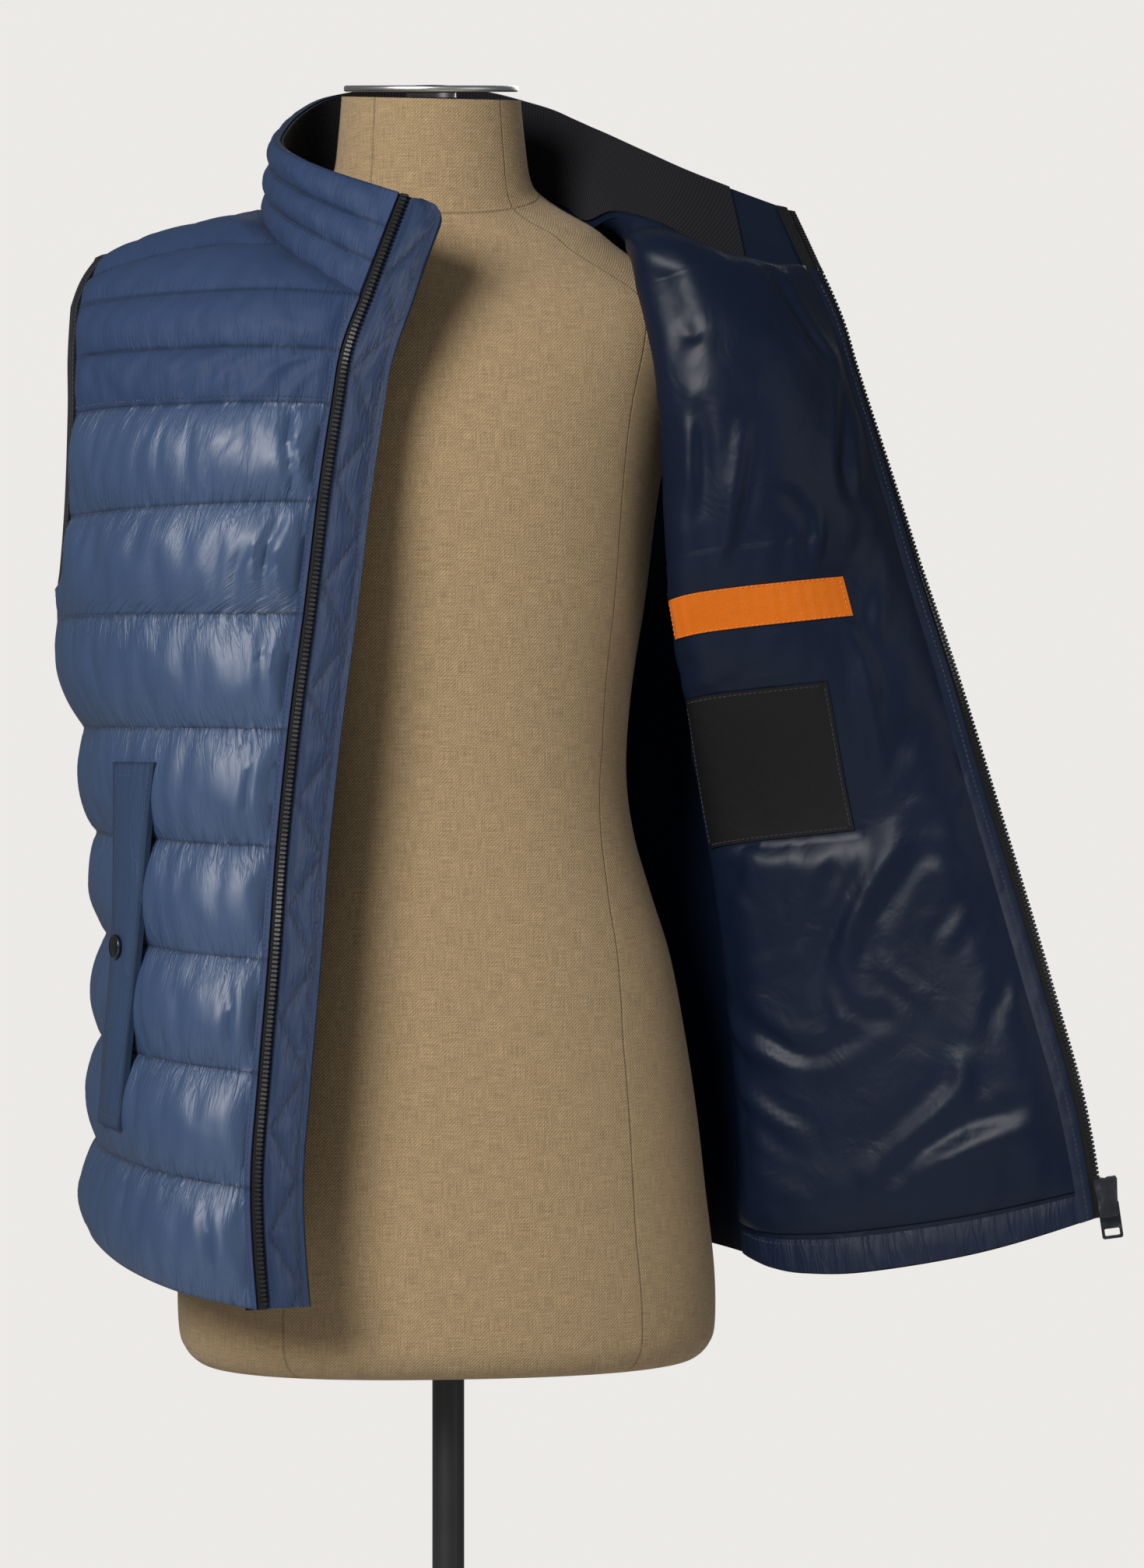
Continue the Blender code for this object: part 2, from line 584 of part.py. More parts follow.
def make_body():
    """The two fronts, the back and the collar, sewn together at the shoulders, sides and neckline."""
    lean = neck_leans()
    neck_rows = len(quilt_rows(0, NECK_CORNER_ROW))
    rows = quilt_rows(0, HEM_ROW)
    low = rows >= UNDERARM_ROW
    back_stations = np.array(BACK_STATIONS)
    back_edges = []
    for name, front, stations, thickness, sign, neck in (
        ("right_front", right_front, RIGHT_STATIONS, right_thickness, 1, lean[:neck_rows][::-1]),
        ("left_front", left_front, LEFT_STATIONS, left_thickness, -1, lean[-neck_rows:]),
    ):
        stations = np.array(stations, float)
        neck_side, side = (BACK_NECK[0], 0) if sign == 1 else (BACK_NECK[1], BACK_LEFT_SIDE)
        ratio = front.last_station / (neck_side - side)
        shoulder = seam_leans(front, 0, stations, 0, side + stations / ratio)
        edge = seam_leans(front, rows[low], 0, rows[low], side)
        seams = (((0, slice(None)), shoulder), ((low, 0), edge), ((slice(0, neck_rows), -1), neck))
        make_panel(name, front, rows, stations, thickness, seams)
        beyond = np.abs(back_stations - side) <= abs(neck_side - side)
        places = (back_stations[beyond] - side) * ratio
        shoulder = seam_leans(front, 0, places, 0, back_stations[beyond])
        back_edges += [((0, beyond), shoulder), ((low, 0 if sign == 1 else -1), edge)]

    on_neck = (back_stations >= BACK_NECK[0]) & (back_stations <= BACK_NECK[1])
    behind = lean[neck_rows - 1 : len(lean) - neck_rows + 1]
    spread = np.linspace(*BACK_NECK, len(behind))
    along = [np.interp(back_stations[on_neck], spread, behind[:, axis]) for axis in range(3)]
    back_edges.append(((0, on_neck), np.stack(along, axis=1)))
    make_panel("back", back_panel, rows, BACK_STATIONS, back_thickness, back_edges)

    collar_edge = [((-1, slice(None)), lean)]
    stations = np.arange(len(lean), dtype=float)
    rows = quilt_rows(0, COLLAR_SEAMS)
    make_panel("collar", collar, rows, stations, collar_thickness, collar_edge, COLLAR_GAP)


# Trim


def edge_frames(panel, rows, station, inside):
    """Points, normals and directions out past the panel's edge. Inside is the next station of its mesh."""
    points, normals, _ = panel.frames(rows, station)
    out = unit(points - panel.points(rows, inside))
    return points, unit(normals - out * (normals * out).sum(axis=-1, keepdims=True)), out


def zip_frames(front, stations, collar_stations):
    """The edge that carries the zip: down the collar's end, then down the front."""
    collar_rows = quilt_rows(0, COLLAR_SEAMS)[:-1]
    front_rows = quilt_rows(NECK_CORNER_ROW, HEM_ROW)
    upper = edge_frames(collar, collar_rows, *collar_stations)
    lower = edge_frames(front, front_rows, *stations)
    points, normals, out = (np.concatenate(pair) for pair in zip(upper, lower))
    along = unit(np.gradient(points, axis=0))
    for _ in range(ZIP_EASING):
        out[1:-1] = (out[:-2] + 2 * out[1:-1] + out[2:]) / 4
        normals[1:-1] = (normals[:-2] + 2 * normals[1:-1] + normals[2:]) / 4
    out = unit(out - along * (out * along).sum(axis=1, keepdims=True))
    facing = np.cross(out, along)
    return points, facing * np.sign((facing * normals).sum(axis=1, keepdims=True)), out


def right_zip_frames():
    return zip_frames(right_front, (RIGHT_ZIP, RIGHT_STATIONS[-2]), (0, 1))


def left_zip_frames():
    ends = collar.last_station, collar.last_station - 1
    return zip_frames(left_front, (LEFT_ZIP, LEFT_STATIONS[-2]), ends)


def edge_strip(name, frames, reaches, lift, thick, finish_name):
    """A strip along an edge. Reaches has the distances past the edge, one row for each frame."""
    points, normals, out = (part[:, None] for part in frames)
    inner = points + out * reaches[..., None] + normals * lift
    return wall(name, inner, inner + normals * thick, finish_name)


def make_zip_tapes():
    for name, frames in (("right_zip_tape", right_zip_frames()), ("left_zip_tape", left_zip_frames())):
        reaches = np.tile(np.array(TAPE_REACH, float), (len(frames[0]), 1))
        edge_strip(name, frames, reaches, TAPE_LIFT, TAPE_THICK, "zip")


def make_windguard():
    """The guard behind the zip, which stands out past the right front and has a round top corner."""
    frames = right_zip_frames()
    reaches = np.tile(np.array(WINDGUARD_REACH, float), (len(frames[0]), 1))
    for row, share in enumerate(WINDGUARD_CORNER):
        reaches[row, 1:] = WINDGUARD_REACH[0] + (reaches[row, 1:] - WINDGUARD_REACH[0]) * share
    edge_strip("windguard", frames, reaches, WINDGUARD_LIFT, WINDGUARD_THICK, "guard")


def moved_along(panel, rows, station, moves):
    """The panel's points and normals a short way along its surface from the edge at a station."""
    step = 0.05
    inside = abs(station - step)
    edge = panel.points(rows, station)
    per_station = (panel.points(rows, inside) - edge) / (inside - station)
    per_row = (panel.points(rows + step, station) - edge) / step
    axes = np.stack([per_row, per_station], axis=-1)
    down, across = np.array([np.linalg.lstsq(pair, move, rcond=None)[0] for pair, move in zip(axes, moves)]).T
    return panel.frames(np.maximum(rows + down, 0), station + across)[:2]


def make_bindings():
    """Elastic binding folded over each armhole's edge, down the front and up the back."""
    rows = quilt_rows(0, UNDERARM_ROW)
    count = len(rows)
    joints = [0, -1]
    high, low = WALL + BINDING_GAP, -BINDING_GAP
    for name, front, inside, back_stations in (
        ("right_armhole_binding", right_front, RIGHT_STATIONS[1], BACK_STATIONS[:2]),
        ("left_armhole_binding", left_front, LEFT_STATIONS[1], BACK_STATIONS[:-3:-1]),
    ):
        down = edge_frames(front, rows, 0, inside)
        up = edge_frames(back_panel, rows, *back_stations)
        down[1][joints] = midway(down[1][joints], up[1][joints])
        points, normals, out = (np.concatenate((a, b[-2:0:-1])) for a, b in zip(down, up))
        along = np.roll(points, -1, axis=0) - np.roll(points, 1, axis=0)
        across = unit(np.cross(normals, along))
        out = across * np.sign((across * out).sum())
        out = unit(np.roll(out, 1, axis=0) + 3 * out + np.roll(out, -1, axis=0))

        reach = -BINDING_REACH * out
        behind = np.concatenate((reach[:1], reach[: count - 2 : -1]))
        down = moved_along(front, rows, 0, reach[:count])
        up = moved_along(back_panel, rows, back_stations[0], behind)
        down[1][joints] = midway(down[1][joints], up[1][joints])
        far, far_normals = (np.concatenate((a, b[-2:0:-1])) for a, b in zip(down, up))
        rings = [
            far + far_normals * high,
            far + far_normals * (high + BINDING_THICK),
            points + out * (BINDING_GAP + BINDING_THICK) + normals * (high + BINDING_THICK),
            points + out * (BINDING_GAP + BINDING_THICK) + normals * (low - BINDING_THICK),
            far + far_normals * (low - BINDING_THICK),
            far + far_normals * low,
            points + out * BINDING_GAP + normals * low,
            points + out * BINDING_GAP + normals * high,
        ]
        ring_loft(name, np.stack(rings, axis=1), "knit", closed_path=True)


def inside_piece(name, panel, rows, stations, depth, thick, finish_name):
    """A flat piece on the panel's inner side, from a grid of rows and stations."""
    points, normals, _ = panel.frames(rows, stations)
    near = points - normals * depth
    return wall(name, near - normals * thick, near, finish_name)


def make_left_inside():
    """Lining, facings, pocket tape and label, which show because the left front is open."""
    rows = np.append(quilt_rows(0, HEM_ROW)[2:-1], HEM_FACING_ROW - 0.04)
    grid_rows, stations = np.meshgrid(rows, LEFT_STATIONS[:-1], indexing="ij")
    stations = stations.copy()
    stations[:, 0] = np.where(rows <= UNDERARM_ROW, LINING_AT_ARMHOLE, LINING_EDGE[0])
    stations[:, -1] = LINING_EDGE[1]
    inside_piece("left_lining", left_front, grid_rows, stations, LINING_GAP, LINING_THICK, "lining")

    rows = quilt_rows(NECK_CORNER_ROW, HEM_ROW)
    rows[0] += 0.04
    strip = np.meshgrid(rows, (LEFT_ZIP - ZIP_STRIP, LEFT_ZIP - 0.02), indexing="ij")
    inside_piece("zip_facing", left_front, *strip, LAYER_GAP, LINING_THICK, "shell")

    hem = np.meshgrid((HEM_FACING_ROW, HEM_ROW - 0.01), LEFT_STATIONS[1:-1], indexing="ij")
    hem[1][:, -1] = LINING_EDGE[1]
    inside_piece("hem_facing", left_front, *hem, LAYER_GAP, LINING_THICK, "shell")

    on_lining = LINING_GAP + LINING_THICK + LAYER_GAP
    for name, (ends, sides), finish_name in (
        ("pocket_tape", POCKET_TAPE, "orange"),
        ("label", LABEL, "label"),
    ):
        patch = np.meshgrid(np.linspace(*ends, 4), np.linspace(*sides, 8), indexing="ij")
        inside_piece(name, left_front, *patch, on_lining, TRIM_THICK, finish_name)

    rows = quilt_rows(0, COLLAR_SEAMS)
    rows[[0, -1]] += (0.05, -0.2)
    knit = np.meshgrid(rows, np.arange(1.0, collar.last_station), indexing="ij")
    knit[1][:, 0] = 0.75
    knit[1][:, -1] = collar.last_station - 0.6
    inside_piece("collar_facing", collar, *knit, LAYER_GAP, KNIT_THICK, "knit")


def welt_places(ends):
    """Rows and stations of a slanting welt, three stations across."""
    rows = np.array(WELT_ROWS)
    share = (rows - rows[0]) / (rows[-1] - rows[0])
    (top_near, top_far), (low_near, low_far) = ends
    near = top_near + (low_near - top_near) * share
    far = top_far + (low_far - top_far) * share
    across = np.array((0, SNAP_ACROSS, 1))
    return np.repeat(rows[:, None], 3, axis=1), near[:, None] + (far - near)[:, None] * across


def make_pockets():
    """A slanting welt on each front's outer side, closed by a snap."""
    for side, panel, thickness, ends in (
        ("right", right_front, right_thickness, RIGHT_WELT),
        ("left", left_front, left_thickness, LEFT_WELT),
    ):
        rows, stations = welt_places(ends)
        points, normals, _ = panel.frames(rows, stations)
        inner = points + normals * (thickness(rows, stations) + 2 * LAYER_GAP)[..., None]
        wall(side + "_pocket_welt", inner, points + normals * WELT_OUT, "shell")

        share = (SNAP_ROW - WELT_ROWS[0]) / (WELT_ROWS[-1] - WELT_ROWS[0])
        near, far = (top + (low - top) * share for top, low in zip(*ends))
        station = near + (far - near) * SNAP_ACROSS
        point, normal, _ = panel.frames(SNAP_ROW, station)
        lift = WELT_OUT + 3 * SEAT_GAP
        profile = [
            (SNAP_RADIUS * math.sin(angle), SNAP_HIGH * math.cos(angle))
            for angle in np.linspace(0, math.pi / 2, 5)
        ]
        profile[0] = (0, SNAP_HIGH)
        snap = turned(side + "_snap", [*profile, (0, 0)], "gunmetal", 24)
        turn = Vector((0, 0, 1)).rotation_difference(Vector(normal)).to_matrix().to_4x4()
        snap.matrix_world = Matrix.Translation(Vector(point + normal * lift) * MM) @ turn


# Slider and pull of the left half of the zip


def slider_matrix():
    """The slider's axes: x across the zip, y level and out of the panel, z up along the zip."""
    point, normal, across = left_front.frames(SLIDER_ROW, LEFT_ZIP)
    above, below = left_front.points(np.array((SLIDER_ROW - 0.1, SLIDER_ROW + 0.1)), LEFT_ZIP)
    out = unit(normal * (1, 1, 0))
    up = above - below
    up = unit(up - out * (up @ out))
    side = np.cross(out, up)
    matrix = Matrix((side, out, up)).transposed().to_4x4()
    return Matrix.Translation(Vector(point) * MM) @ matrix


def box(shape, low, high):
    """Adds a box between two corners, in millimetres, to a bmesh."""
    size = [(b - a) * MM for a, b in zip(low, high)]
    middle = [(a + b) / 2 * MM for a, b in zip(low, high)]
    matrix = Matrix.Translation(middle) @ Matrix.Diagonal((*size, 1))
    bmesh.ops.create_cube(shape, size=1, matrix=matrix)


def rod(shape, radius, half_long, centre):
    """Adds a round rod along x to a bmesh."""
    matrix = Matrix.Translation(Vector(centre) * MM) @ Matrix.Rotation(math.pi / 2, 4, "Y")
    bmesh.ops.create_cone(
        shape,
        cap_ends=True,
        segments=ROUND_SIDES,
        radius1=radius * MM,
        radius2=radius * MM,
        depth=2 * half_long * MM,
        matrix=matrix,
    )


def block(name, build, collection):
    """An object from a function that adds shapes to a bmesh."""
    shape = bmesh.new()
    build(shape)
    mesh = bpy.data.meshes.new(name)
    shape.to_mesh(mesh)
    shape.free()
    piece = bpy.data.objects.new(name, mesh)
    collection.objects.link(piece)
    return piece


def combine(piece, operation, *others):
    for other in others:
        cut = piece.modifiers.new(other.name, "BOOLEAN")
        cut.operation = operation
        cut.object = other
        other.hide_render = True
        other.display_type = "WIRE"


def make_slider():
    low_across, high_across = SLIDER_ACROSS
    middle = (low_across + high_across) / 2
    matrix = slider_matrix()

    def body(shape):
        box(shape, (low_across, SLIDER_OUT[0], -SLIDER_UP), (high_across, SLIDER_OUT[1], SLIDER_UP))

    def slot(shape):
        box(
            shape,
            (low_across - 5, SLIDER_SLOT_OUT[0], -SLIDER_UP - 1),
            (SLIDER_SLOT_ACROSS, SLIDER_SLOT_OUT[1], SLIDER_UP + 1),
        )

    def lug(side):
        near, far = sorted((side * LUG_INSIDE, side * (LUG_INSIDE + LUG_THICK)))
        top = PIN_OUT + PIN_RADIUS + 0.6
        return lambda shape: box(
            shape, (middle + near, SLIDER_OUT[1] - 0.5, -LUG_UP), (middle + far, top, LUG_UP)
        )

    def pin(shape):
        rod(shape, PIN_RADIUS, LUG_INSIDE + LUG_THICK / 2, (middle, PIN_OUT, 0))

    slider = block("zip_slider", body, parts)
    helpers = [block("slot_cutter", slot, cutters)]
    helpers += [block("lug_helper", lug(side), cutters) for side in (-1, 1)]
    helpers += [block("pin_helper", pin, cutters)]
    for piece in (slider, *helpers):
        piece.matrix_world = matrix
    combine(slider, "DIFFERENCE", helpers[0])
    combine(slider, "UNION", *helpers[1:])
    material(slider, "gunmetal")

    eye = matrix @ Matrix.Translation(Vector((middle, PIN_OUT, 0)) * MM)
    half = PULL_THICK / 2

    def tab(shape):
        box(shape, (-PULL_WIDE / 2, -half, -PULL_LONG), (PULL_WIDE / 2, half, -PULL_EYE - 1))

    def neck(shape):
        box(shape, (-PULL_EYE_HALF, -half, -PULL_EYE - 2), (PULL_EYE_HALF, half, -PULL_HOLE))

    def eye_rod(shape):
        rod(shape, PULL_EYE, PULL_EYE_HALF, (0, 0, 0))

    def hole(shape):
        rod(shape, PULL_HOLE, PULL_EYE_HALF + 1, (0, 0, 0))

    def window(shape):
        wide, high = PULL_SLOT
        low = -PULL_LONG + PULL_SLOT_END
        box(shape, (-wide / 2, -half - 1, low), (wide / 2, half + 1, low + high))

    pull = block("zip_pull", tab, parts)
    helpers = [
        block("pull_neck", neck, cutters),
        block("pull_eye", eye_rod, cutters),
        block("eye_cutter", hole, cutters),
        block("window_cutter", window, cutters),
    ]
    for piece in (pull, *helpers):
        piece.matrix_world = eye
    combine(pull, "UNION", *helpers[:2])
    combine(pull, "DIFFERENCE", *helpers[2:])
    material(pull, "gunmetal")


for old in list(bpy.data.objects):
    bpy.data.objects.remove(old)
parts = bpy.data.collections.new("vest_on_dress_form")
cutters = bpy.data.collections.new("cutters")
bpy.context.scene.collection.children.link(parts)
bpy.context.scene.collection.children.link(cutters)

right_front = Panel(RIGHT_FRONT, -1, ROW_PLACES, (NECK_CORNER_ROW, UNDERARM_ROW))
left_front = Panel(LEFT_FRONT, 1, LEFT_ROW_PLACES, (NECK_CORNER_ROW, UNDERARM_ROW))
back_panel = Panel(BACK, 1, ROW_PLACES, (UNDERARM_ROW,), BACK_NECK)
collar = collar_panel()

make_form()
make_neck_cap()
make_stand()
make_body()
make_zip_tapes()
make_windguard()
make_bindings()
make_left_inside()
make_pockets()
make_slider()
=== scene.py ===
"""Quilted vest thrown open on a dress form: cloth, padding, stitching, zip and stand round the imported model.

Tables are in millimetres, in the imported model's own frame: the front faces -Y, the wearer's right is at -X
and +Z is up. Each panel of the vest is a table with one row for each quilting seam, from the shoulder down to
the hem, and one column for each station, from its side or armhole edge to its front edge.
"""

import math

import bmesh
import bpy
import numpy as np
from bpy.props import FloatProperty, FloatVectorProperty, IntProperty, PointerProperty
from mathutils import Matrix, Vector, noise


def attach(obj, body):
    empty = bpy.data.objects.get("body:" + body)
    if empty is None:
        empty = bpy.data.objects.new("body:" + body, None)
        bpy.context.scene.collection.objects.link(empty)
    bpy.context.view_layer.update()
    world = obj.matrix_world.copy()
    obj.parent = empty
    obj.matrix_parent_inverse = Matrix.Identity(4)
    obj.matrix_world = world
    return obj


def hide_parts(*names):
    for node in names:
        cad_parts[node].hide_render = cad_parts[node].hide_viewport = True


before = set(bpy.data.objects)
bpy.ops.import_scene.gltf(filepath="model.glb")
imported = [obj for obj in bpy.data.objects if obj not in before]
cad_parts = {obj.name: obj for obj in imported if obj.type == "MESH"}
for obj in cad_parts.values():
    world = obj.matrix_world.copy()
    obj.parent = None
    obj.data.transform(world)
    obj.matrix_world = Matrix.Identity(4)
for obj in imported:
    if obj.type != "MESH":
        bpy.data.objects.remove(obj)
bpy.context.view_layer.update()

bl_info = {
    "name": "Quilted vest on a dress form",
    "version": (1, 0, 0),
    "blender": (4, 5, 0),
    "location": "View3D > Sidebar > Vest",
    "description": "Makes the vest's cloth, padding, stitching and zip, and the dress form that it hangs on",
    "category": "Object",
}

MM = 0.001
STAND = "stand_and_vest"
PULL = "pull"


NECK_TOP = 1550
NECK_TILT = 0.157
FORM_BOTTOM = 740
FORM_LEAN = 0.0136

# Sections of the form: height at the middle, half width, reach to the front, reach to the back, how much
# higher the section is at the back (per mm of depth), and the squareness of its outline.
FORM_SECTIONS = (
    # high, half, front, back, tilt, square
    (740, 150, 92, 100, 0.00, 2.3),
    (743, 160, 101, 110, 0.00, 2.3),
    (751, 168, 109, 118, 0.00, 2.3),
    (764, 172, 113, 122, 0.00, 2.3),
    (800, 172, 114, 124, 0.00, 2.3),
    (850, 167, 112, 123, 0.00, 2.3),
    (900, 162, 109, 119, 0.00, 2.3),
    (950, 155, 106, 111, 0.00, 2.3),
    (1000, 146, 103, 100, 0.00, 2.3),
    (1040, 134, 101, 92, 0.00, 2.3),
    (1080, 123, 100, 86, 0.00, 2.3),
    (1120, 119, 100, 84, 0.00, 2.3),
    (1170, 123, 103, 88, 0.00, 2.3),
    (1230, 133, 109, 95, 0.00, 2.3),
    (1295, 142, 114, 103, 0.00, 2.3),
    (1345, 153, 111, 108, 0.00, 2.3),
    (1385, 168, 101, 107, 0.01, 2.3),
    (1408, 176, 90, 101, 0.02, 2.2),
    (1424, 170, 81, 95, 0.05, 2.2),
    (1437, 152, 74, 88, 0.09, 2.1),
    (1448, 132, 68, 82, 0.13, 2.1),
    (1458, 118, 63, 77, 0.18, 2.0),
    (1469, 104, 60, 72, 0.24, 2.0),
    (1480, 83, 57, 66, 0.32, 2.0),
    (1490, 69, 55, 61, 0.38, 2.0),
    (1501, 63, 54, 58, 0.36, 2.0),
    (1523, 60, 53, 56, 0.26, 2.0),
    (NECK_TOP, 57.5, 53, 55, NECK_TILT, 2.0),
)

# The rows of a panel's table: 0 the shoulder seam, 1 to 3 yoke seams, 4 the seam under the yoke, 5.65 the
# bottom of the armhole, the other whole numbers quilting seams down to 12, the hem. Row 2 ends at the
# corner where the neckline meets the zip.
ROW_PLACES = (0, 1, 2, 3, 4, 5, 5.65, 6, 7, 8, 9, 10, 11, 12)
NECK_CORNER_ROW = 2
YOKE_ROW = 4
UNDERARM_ROW = 6
HEM_ROW = 12

RIGHT_FRONT = (
    # armhole or side, second, third, fourth, neckline or zip
    ((-222, 23, 1442), (-196, 17, 1452), (-170, 12, 1460), (-142, 6, 1466), (-115, 1.5, 1472)),
    ((-231, 4, 1427), (-205, -22, 1435), (-177, -44, 1440), (-145, -62, 1443), (-110, -77, 1441)),
    ((-237, -10, 1410), (-207, -55, 1411), (-168, -92, 1411), (-122, -122, 1410), (-69, -138, 1406)),
    ((-239, -22, 1377), (-212, -66, 1377), (-176, -104, 1376), (-132, -134, 1375), (-82, -145, 1373)),
    ((-239, -27, 1342), (-214, -72, 1342), (-180, -111, 1341), (-137, -139, 1341), (-88, -147, 1340)),
    ((-241, -18, 1278), (-220, -72, 1278), (-188, -114, 1279), (-145, -142, 1280), (-97, -151, 1281)),
    ((-244, -4, 1238), (-228, -62, 1238), (-197, -108, 1238), (-152, -140, 1238), (-102, -152, 1238)),
    ((-246, 30, 1216), (-238, -42, 1215), (-208, -98, 1214), (-160, -138, 1213), (-105, -152, 1213)),
    ((-229, 31, 1147), (-223, -36, 1146), (-200, -92, 1145), (-161, -133, 1144), (-114, -151, 1143)),
    ((-221, 28, 1080), (-216, -34, 1079), (-197, -88, 1077), (-165, -130, 1074), (-121, -150, 1072)),
    ((-215, 22, 1015), (-212, -38, 1013), (-197, -90, 1011), (-168, -132, 1007), (-126, -154, 1004)),
    ((-218, 22, 950), (-215, -38, 947), (-200, -92, 944), (-172, -135, 940), (-132, -157, 936)),
    ((-221, 24, 885), (-218, -38, 881), (-203, -94, 877), (-176, -138, 872), (-137, -161, 867)),
    ((-227, 24, 829), (-223, -38, 822), (-206, -95, 812), (-175, -140, 802), (-133, -163, 794)),
)

LEFT_ROW_PLACES = (0, 0.5, *ROW_PLACES[1:])
LEFT_FRONT = (
    # armhole or side, leg, inner side of the roll, roll, outer side of the roll, middle, neckline or zip
    ((202, 26, 1441), (172, 25.5, 1452), (142, 24.5, 1461), (122, 22.8, 1465.6), (115, 22.3, 1467),
     (107, 21.5, 1468.8), (94, 20, 1471)),
    ((202, 19, 1435), (174, 4, 1442), (145, -7, 1448), (119, -15, 1451), (112, -22, 1457), (113, -27, 1465),
     (119, -29, 1472)),
    ((202, 10, 1428), (170, -12, 1435), (136, -31, 1441), (114, -49, 1444), (112, -61, 1453),
     (130, -63, 1457), (155, -57, 1447)),
    ((200, -6, 1411), (167, -32, 1414), (135.5, -55.5, 1419), (114, -70, 1423), (130, -84, 1427),
     (178, -78, 1433), (229, -52, 1439)),
    ((198, -16, 1378), (167, -44, 1380), (138, -66, 1383), (120, -82, 1387), (136, -97, 1391),
     (188, -92, 1399), (244, -54, 1406)),
    ((197, -22, 1343), (168, -50, 1345), (142, -73, 1348), (125, -88, 1352), (140, -103, 1356),
     (195, -98, 1364), (254, -56, 1373)),
    ((200, -16, 1280), (172, -42, 1283), (146, -66, 1287), (130, -84, 1291), (146, -100, 1296),
     (205, -100, 1305), (272, -60, 1315)),
    ((203, 0, 1238), (180, -31, 1243), (153, -58, 1247), (133, -79, 1251), (148, -96, 1256), (211, -99, 1264),
     (285, -63, 1272)),
    ((207, 22, 1216), (185, -15, 1220), (156, -50, 1225), (134, -72, 1229), (150, -90, 1235),
     (215, -97, 1242), (292, -65, 1248)),
    ((205, 30, 1150), (190, 4, 1152), (168, -22, 1156), (150, -44, 1160), (168, -62, 1165), (235, -84, 1172),
     (312, -75, 1180)),
    ((200, 38, 1080), (190, 18, 1082), (176, 2, 1085), (166, -14, 1089), (184, -34, 1094), (252, -68, 1102),
     (331, -84, 1111)),
    ((196, 36, 1012), (189, 22, 1014), (181, 8, 1017), (180, -8, 1021), (200, -28, 1026), (268, -66, 1035),
     (350, -92, 1044)),
    ((194, 30, 945), (190, 18, 946), (187, 4, 949), (192, -10, 953), (215, -32, 958), (285, -72, 967),
     (368, -102, 976)),
    ((193, 20, 878), (192, 8, 879), (194, -6, 881), (206, -20, 885), (236, -42, 890), (305, -82, 899),
     (385, -111, 908)),
    ((193, 8, 806), (198, -6, 802), (208, -20, 798), (226, -36, 796), (262, -60, 799), (328, -94, 814),
     (396, -116, 837)),
)

BACK = (
    # right side, shoulder, right neck, blade, middle, blade, left neck, shoulder, left side
    ((-222, 23, 1442), (-170, 12, 1460), (-115, 1.5, 1472), (-80, 69, 1494), (2, 92, 1501), (68, 70, 1493),
     (94, 20, 1471), (150, 25, 1459), (202, 26, 1441)),
    ((-226, 38, 1428), (-178, 51, 1442), (-123, 50.5, 1461), (-68, 88, 1460), (0, 106, 1462), (62, 92, 1460),
     (103, 60, 1455), (154, 58, 1444), (205, 42, 1428)),
    ((-228, 54, 1411), (-182, 76, 1416), (-125, 88, 1419), (-66, 104, 1421), (0, 115, 1422), (58, 106, 1421),
     (107, 90, 1419), (158, 82, 1415), (206, 58, 1411)),
    ((-229, 66, 1378), (-186, 94, 1380), (-130, 110, 1381), (-66, 119, 1382), (-2, 123, 1383),
     (58, 118, 1382), (110, 108, 1381), (162, 96, 1380), (208, 70, 1378)),
    ((-229, 74, 1343), (-188, 103, 1343), (-132, 119, 1343), (-67, 126, 1343), (-3, 128, 1343),
     (58, 124, 1343), (112, 114, 1343), (164, 102, 1343), (209, 77, 1343)),
    ((-232, 76, 1280), (-192, 108, 1280), (-135, 124, 1280), (-69, 131, 1280), (-4, 133, 1280),
     (58, 128, 1280), (113, 118, 1280), (166, 104, 1280), (211, 74, 1280)),
    ((-240, 62, 1238), (-200, 103, 1238), (-140, 125, 1238), (-70, 133, 1238), (-4, 135, 1238),
     (58, 130, 1238), (114, 118, 1238), (170, 96, 1238), (210, 46, 1237)),
    ((-246, 30, 1216), (-214, 88, 1217), (-150, 122, 1217), (-73, 133, 1217), (-4, 136, 1217),
     (60, 130, 1217), (118, 112, 1217), (174, 78, 1217), (207, 22, 1216)),
    ((-229, 31, 1147), (-204, 88, 1148), (-147, 122, 1148), (-74, 134, 1148), (-5, 137, 1148),
     (60, 131, 1148), (118, 112, 1148), (172, 82, 1148), (205, 30, 1150)),
    ((-221, 28, 1080), (-200, 84, 1079), (-146, 121, 1078), (-75, 135, 1078), (-6, 139, 1078),
     (60, 133, 1078), (118, 114, 1078), (170, 84, 1079), (200, 38, 1080)),
    ((-215, 22, 1015), (-198, 82, 1013), (-146, 123, 1012), (-76, 139, 1012), (-7, 143, 1012),
     (60, 136, 1012), (117, 115, 1012), (168, 82, 1012), (196, 36, 1012)),
    ((-218, 22, 950), (-201, 84, 948), (-148, 127, 946), (-77, 145, 946), (-7, 149, 946), (60, 141, 946),
     (117, 116, 946), (167, 78, 945), (194, 30, 945)),
    ((-221, 24, 885), (-204, 87, 883), (-150, 132, 881), (-78, 151, 880), (-8, 155, 880), (60, 146, 880),
     (117, 118, 879), (166, 73, 879), (193, 20, 878)),
    ((-227, 24, 829), (-207, 90, 824), (-152, 136, 818), (-79, 155, 815), (-8, 159, 815), (60, 150, 814),
     (116, 119, 812), (164, 66, 810), (193, 8, 806)),
)

